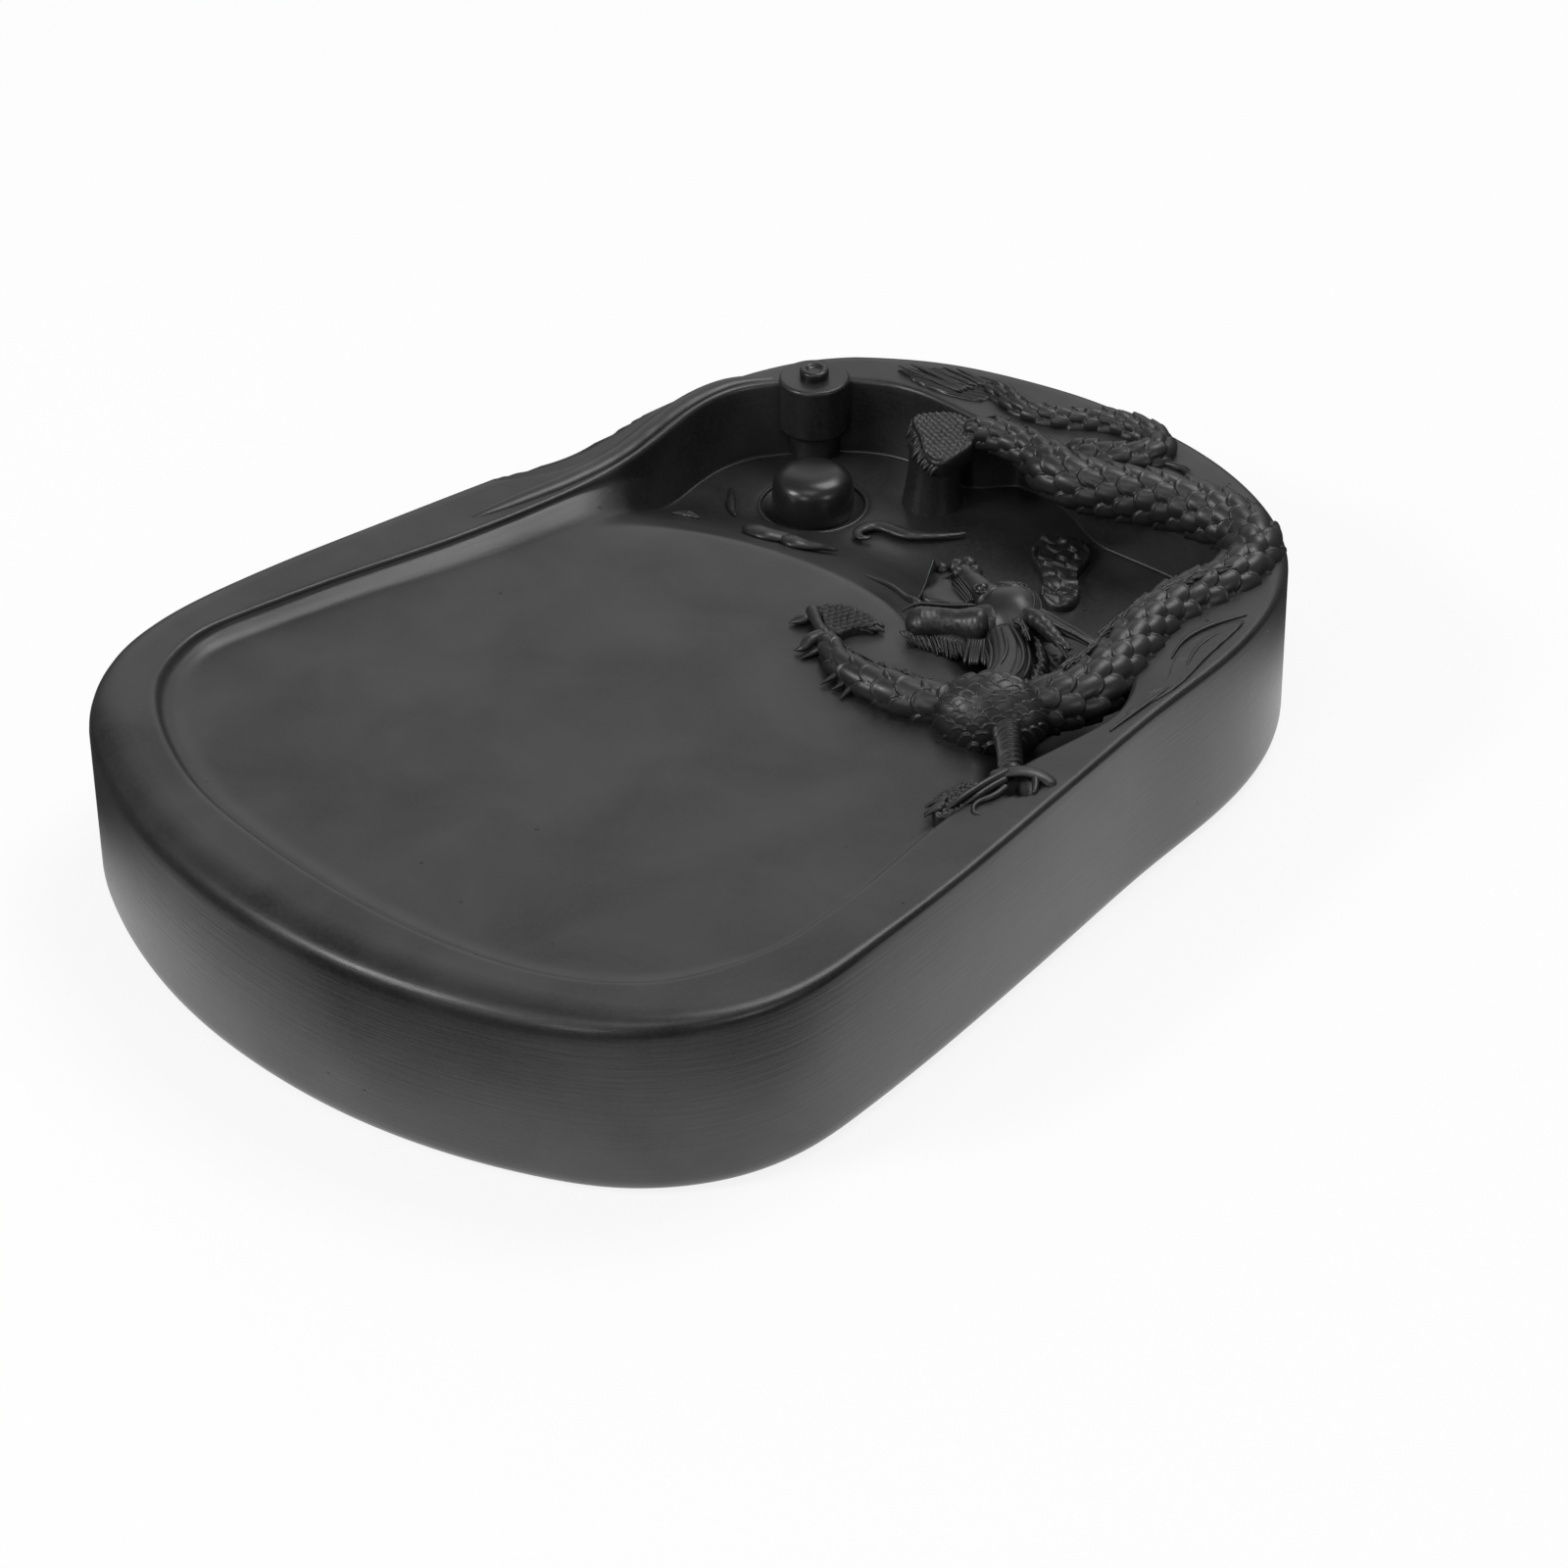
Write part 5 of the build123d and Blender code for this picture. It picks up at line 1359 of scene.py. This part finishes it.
cloudRibbons = {
    "cloudRibbon": {"node": "cloud_front", "ribbons": [
        {"line": [(-24.8, 28.4), (-23.2, 27.0), (-21.2, 26.2), (-19.2, 26.4), (-17.4, 27.6), (-15.8, 27.2),
                  (-14.2, 28.4), (-13.4, 30.2), (-12.4, 32.0)],
         "radii": [0.4, 1.0, 1.35, 1.3, 1.05, 1.25, 1.0, 0.7, 0.25], "flat": 0.5, "lump": 0.1, "seed": 66,
         "over": 0.7},
        {"line": [(-23.4, 28.8), (-21.2, 28.2), (-19.2, 29.0), (-17.4, 29.8)],
         "radii": [0.3, 0.8, 0.7, 0.2], "flat": 0.5, "lump": 0.08, "seed": 67, "over": 0.55}]},
    "cloudHook": {"node": "cloud_hook", "ribbons": [
        {"line": [(-15.2, 41.0), (-15.7, 39.8), (-16.8, 40.0), (-17.4, 41.6), (-16.4, 43.4), (-14.6, 44.0),
                  (-12.4, 44.4), (-10.2, 46.0), (-8.4, 48.0), (-7.1, 50.0)],
         "radii": [0.3, 0.6, 0.8, 0.9, 1.0, 1.0, 0.85, 0.6, 0.4, 0.2], "flat": 0.55, "lump": 0.06, "seed": 68,
         "over": 0.7}]},
    "cloudWisps": {"node": "cloud_wisps", "ribbons": [
        {"line": line, "radii": [0.25, 0.7, 0.2], "flat": 0.7, "lump": 0.08, "seed": 69, "over": 0.25}
        for line in ([(-34.0, 23.9), (-32.4, 25.2), (-30.4, 25.2)],
                     [(-37.2, 37.6), (-35.4, 35.8), (-33.8, 34.2), (-31.4, 32.6)])]},
}
for pieceName, cloud in cloudRibbons.items():
    addCarving(pieceName, together(*[makeRibbon(**ribbon) for ribbon in cloud["ribbons"]]), cloud["node"])

rimCloud = {
    "body": {"outline": [(41.1, 47.0), (39.8, 42.0), (39.8, 37.5), (41.5, 33.0), (43.2, 30.0), (44.1, 25.5),
                         (44.7, 20.6), (45.4, 25.9), (44.9, 31.9), (43.2, 39.0)],
             "low": 22.9, "high": 23.85, "edge": 0.8, "rows": 16, "around": 160},
    "bumps": (0.12, 2.6, 70),
    "lines": [[(40.9, 47.6), (39.3, 42.6), (39.2, 37.6), (40.6, 34.0)],
              [(41.5, 45.4), (41.3, 38.3), (43.2, 33.8), (44.4, 32.0)],
              [(44.2, 31.2), (44.7, 27.2), (45.2, 21.5), (45.6, 17.2)]],
    "lineLevel": 23.7, "lineRadii": [0.1, 0.3, 0.3, 0.1],
}
addCarving("rimCloud", together(
    plate(**rimCloud["body"], relief=bumps(*rimCloud["bumps"])),
    *[cord(level(line, rimCloud["lineLevel"]), rimCloud["lineRadii"]) for line in rimCloud["lines"]]),
    "rim_cloud")
print("fin, tuft, clouds and pool rock made")


# Camera, light and floor

view = {
    "azimuth": 44.902, "elevation": 34.378, "roll": -0.667, "distance": 613.856,
    "focalPixels": 5128.366, "imagePixels": 1600.0, "shiftX": -54.767, "shiftY": 22.171, "sensor": 36.0,
}


def makeCamera():
    # Looks along the photograph's direction; the aim is moved sideways instead of the lens.
    azimuth, elevation, roll = (math.radians(view[key]) for key in ("azimuth", "elevation", "roll"))
    back = Vector((math.sin(azimuth) * math.cos(elevation), -math.cos(azimuth) * math.cos(elevation),
                   math.sin(elevation)))
    right = Vector((math.cos(azimuth), math.sin(azimuth), 0))
    up = back.cross(right)
    turnedRight = right * math.cos(roll) + up * math.sin(roll)
    turnedUp = -right * math.sin(roll) + up * math.cos(roll)
    perPixel = view["distance"] / view["focalPixels"]
    spot = (back * view["distance"] - turnedRight * view["shiftX"] * perPixel
            + turnedUp * view["shiftY"] * perPixel)
    data = bpy.data.cameras.new("photoView")
    data.sensor_width = view["sensor"]
    data.lens = view["sensor"] * view["focalPixels"] / view["imagePixels"]
    camera = bpy.data.objects.new("photoView", data)
    frameAxes = Matrix((turnedRight, turnedUp, back)).transposed().to_4x4()
    camera.matrix_world = Matrix.Translation(spot * millimetre) @ frameAxes
    bpy.context.scene.collection.objects.link(camera)
    bpy.context.scene.camera = camera


lights = {
    # The room: plain and dim all round, brighter low on the far side, where the bed mirrors it.
    "roomLow": 0.2, "roomHigh": 0.86, "brightWay": (-0.62, 0.62, 0.30), "brightFrom": 0.82, "brightTo": 1.0,
    "horizon": 0.7, "skyFrom": 0.05, "skyTo": 0.45,
    # The card under the stone, its places and sizes in metres.
    "floor": "#ffffff", "cardHalf": 3.0, "lit": 0.85, "glow": 1.2, "glowFrom": 0.022, "glowTo": 0.044,
    "dim": 0.08, "halfStone": (0.030, 0.050, 0.0), "glowCentre": (0.013, -0.006, 0.0),
    "aim": (0, 0, 0.02),
    "lamps": [
        # Name, place and size in metres, power in watts.
        ("leftSoftbox", (-0.33, -0.74, 0.60), 0.22, 3.6),
        ("frontLeftSoftbox", (0.27, -0.87, 0.42), 0.2, 0.8),
        ("frontRightSoftbox", (0.92, -0.05, 0.40), 0.2, 0.8),
        ("topSoftbox", (0.20, -0.35, 0.95), 0.45, 1.2),
        ("backSoftbox", (0.0, 0.49, 0.88), 0.48, 3.9),
    ],
}


def makeLamps():
    # Square softboxes, each turned from its place towards the aim.
    for name, place, size, power in lights["lamps"]:
        data = bpy.data.lights.new(name, "AREA")
        data.shape = "SQUARE"
        data.size = size
        data.energy = power
        lamp = bpy.data.objects.new(name, data)
        facingAim = (Vector(place) - Vector(lights["aim"])).to_track_quat("Z", "Y").to_matrix().to_4x4()
        lamp.matrix_world = Matrix.Translation(Vector(place)) @ facingAim
        bpy.context.scene.collection.objects.link(lamp)


def makeRoom():
    # Power from roomLow to roomHigh as the way nears brightWay, times a rise from horizon to 1
    # with height; the camera itself sees plain white.
    world = bpy.data.worlds.new("paleStudio")
    bpy.context.scene.world = world
    world.use_nodes = True
    tree = world.node_tree
    tree.nodes.clear()
    seen = addNode(tree, "ShaderNodeLightPath").outputs["Is Camera Ray"]
    way = addNode(tree, "ShaderNodeTexCoord").outputs["Generated"]
    toBright = addNode(tree, "ShaderNodeVectorMath", {
        "operation": "DOT_PRODUCT", 1: Vector(lights["brightWay"]).normalized()}, {0: way}).outputs["Value"]
    power = addNode(tree, "ShaderNodeMapRange", {
        "From Min": lights["brightFrom"], "From Max": lights["brightTo"], "To Min": lights["roomLow"],
        "To Max": lights["roomHigh"], "interpolation_type": "SMOOTHSTEP"}, {"Value": toBright})
    height = addNode(tree, "ShaderNodeSeparateXYZ", None, {0: way}).outputs["Z"]
    sky = addNode(tree, "ShaderNodeMapRange", {
        "From Min": lights["skyFrom"], "From Max": lights["skyTo"], "To Min": lights["horizon"],
        "To Max": 1.0}, {"Value": height})
    power = addNode(tree, "ShaderNodeMath", {"operation": "MULTIPLY"},
                    {0: power.outputs[0], 1: sky.outputs[0]})
    room = addNode(tree, "ShaderNodeBackground", {"Color": (1, 1, 1, 1)}, {"Strength": power.outputs[0]})
    white = addNode(tree, "ShaderNodeBackground", {"Color": (1, 1, 1, 1), "Strength": 1.0})
    either = addNode(tree, "ShaderNodeMixShader", None, {0: seen, 1: room.outputs[0], 2: white.outputs[0]})
    addNode(tree, "ShaderNodeOutputWorld", None, {"Surface": either.outputs[0]})


def makeFloor():
    # White card lit from beneath round the stone: it glows near the stone and fades outwards,
    # and it keeps the soft shadow that the stone casts on it.
    half = lights["cardHalf"]
    mesh = bpy.data.meshes.new("whiteCard")
    mesh.from_pydata([(-half, -half, 0), (half, -half, 0), (half, half, 0), (-half, half, 0)], [],
                     [(0, 1, 2, 3)])
    floor = bpy.data.objects.new("whiteCard", mesh)
    bpy.context.scene.collection.objects.link(floor)
    material = bpy.data.materials.new("mattWhiteCard")
    material.use_nodes = True
    tree = material.node_tree
    tree.nodes.clear()
    place = addNode(tree, "ShaderNodeTexCoord").outputs["Object"]
    moved = addNode(tree, "ShaderNodeVectorMath", {"operation": "SUBTRACT", 1: lights["glowCentre"]},
                    {0: place})
    across = addNode(tree, "ShaderNodeVectorMath", {"operation": "ABSOLUTE"}, {0: moved.outputs[0]})
    past = addNode(tree, "ShaderNodeVectorMath", {"operation": "SUBTRACT", 1: lights["halfStone"]},
                   {0: across.outputs[0]})
    past = addNode(tree, "ShaderNodeVectorMath", {"operation": "MAXIMUM", 1: (0, 0, 0)}, {0: past.outputs[0]})
    away = addNode(tree, "ShaderNodeVectorMath", {"operation": "LENGTH"}, {0: past.outputs[0]})
    fading = addNode(tree, "ShaderNodeMapRange", {
        "From Min": lights["glowFrom"], "From Max": lights["glowTo"], "To Min": lights["glow"],
        "To Max": 0.0, "interpolation_type": "SMOOTHSTEP"}, {"Value": away.outputs["Value"]})
    seen = addNode(tree, "ShaderNodeLightPath").outputs["Is Camera Ray"]
    card = addNode(tree, "ShaderNodeBsdfDiffuse", {"Color": colour(lights["floor"])})
    white = addNode(tree, "ShaderNodeEmission", {"Color": (1, 1, 1, 1), "Strength": 1.0})
    lit = addNode(tree, "ShaderNodeMixShader", {0: lights["lit"]}, {1: card.outputs[0], 2: white.outputs[0]})
    dim = addNode(tree, "ShaderNodeBsdfDiffuse", {"Color": (*[lights["dim"]] * 3, 1)})
    under = addNode(tree, "ShaderNodeEmission", {"Color": (1, 1, 1, 1)}, {"Strength": fading.outputs[0]})
    glowing = addNode(tree, "ShaderNodeAddShader", None, {0: dim.outputs[0], 1: under.outputs[0]})
    either = addNode(tree, "ShaderNodeMixShader", None, {0: seen, 1: glowing.outputs[0], 2: lit.outputs[0]})
    addNode(tree, "ShaderNodeOutputMaterial", None, {"Surface": either.outputs[0]})
    mesh.materials.append(material)


makeCamera()
makeLamps()
makeRoom()
makeFloor()
bpy.context.scene.view_settings.view_transform = "Standard"
print("camera, light and floor made")
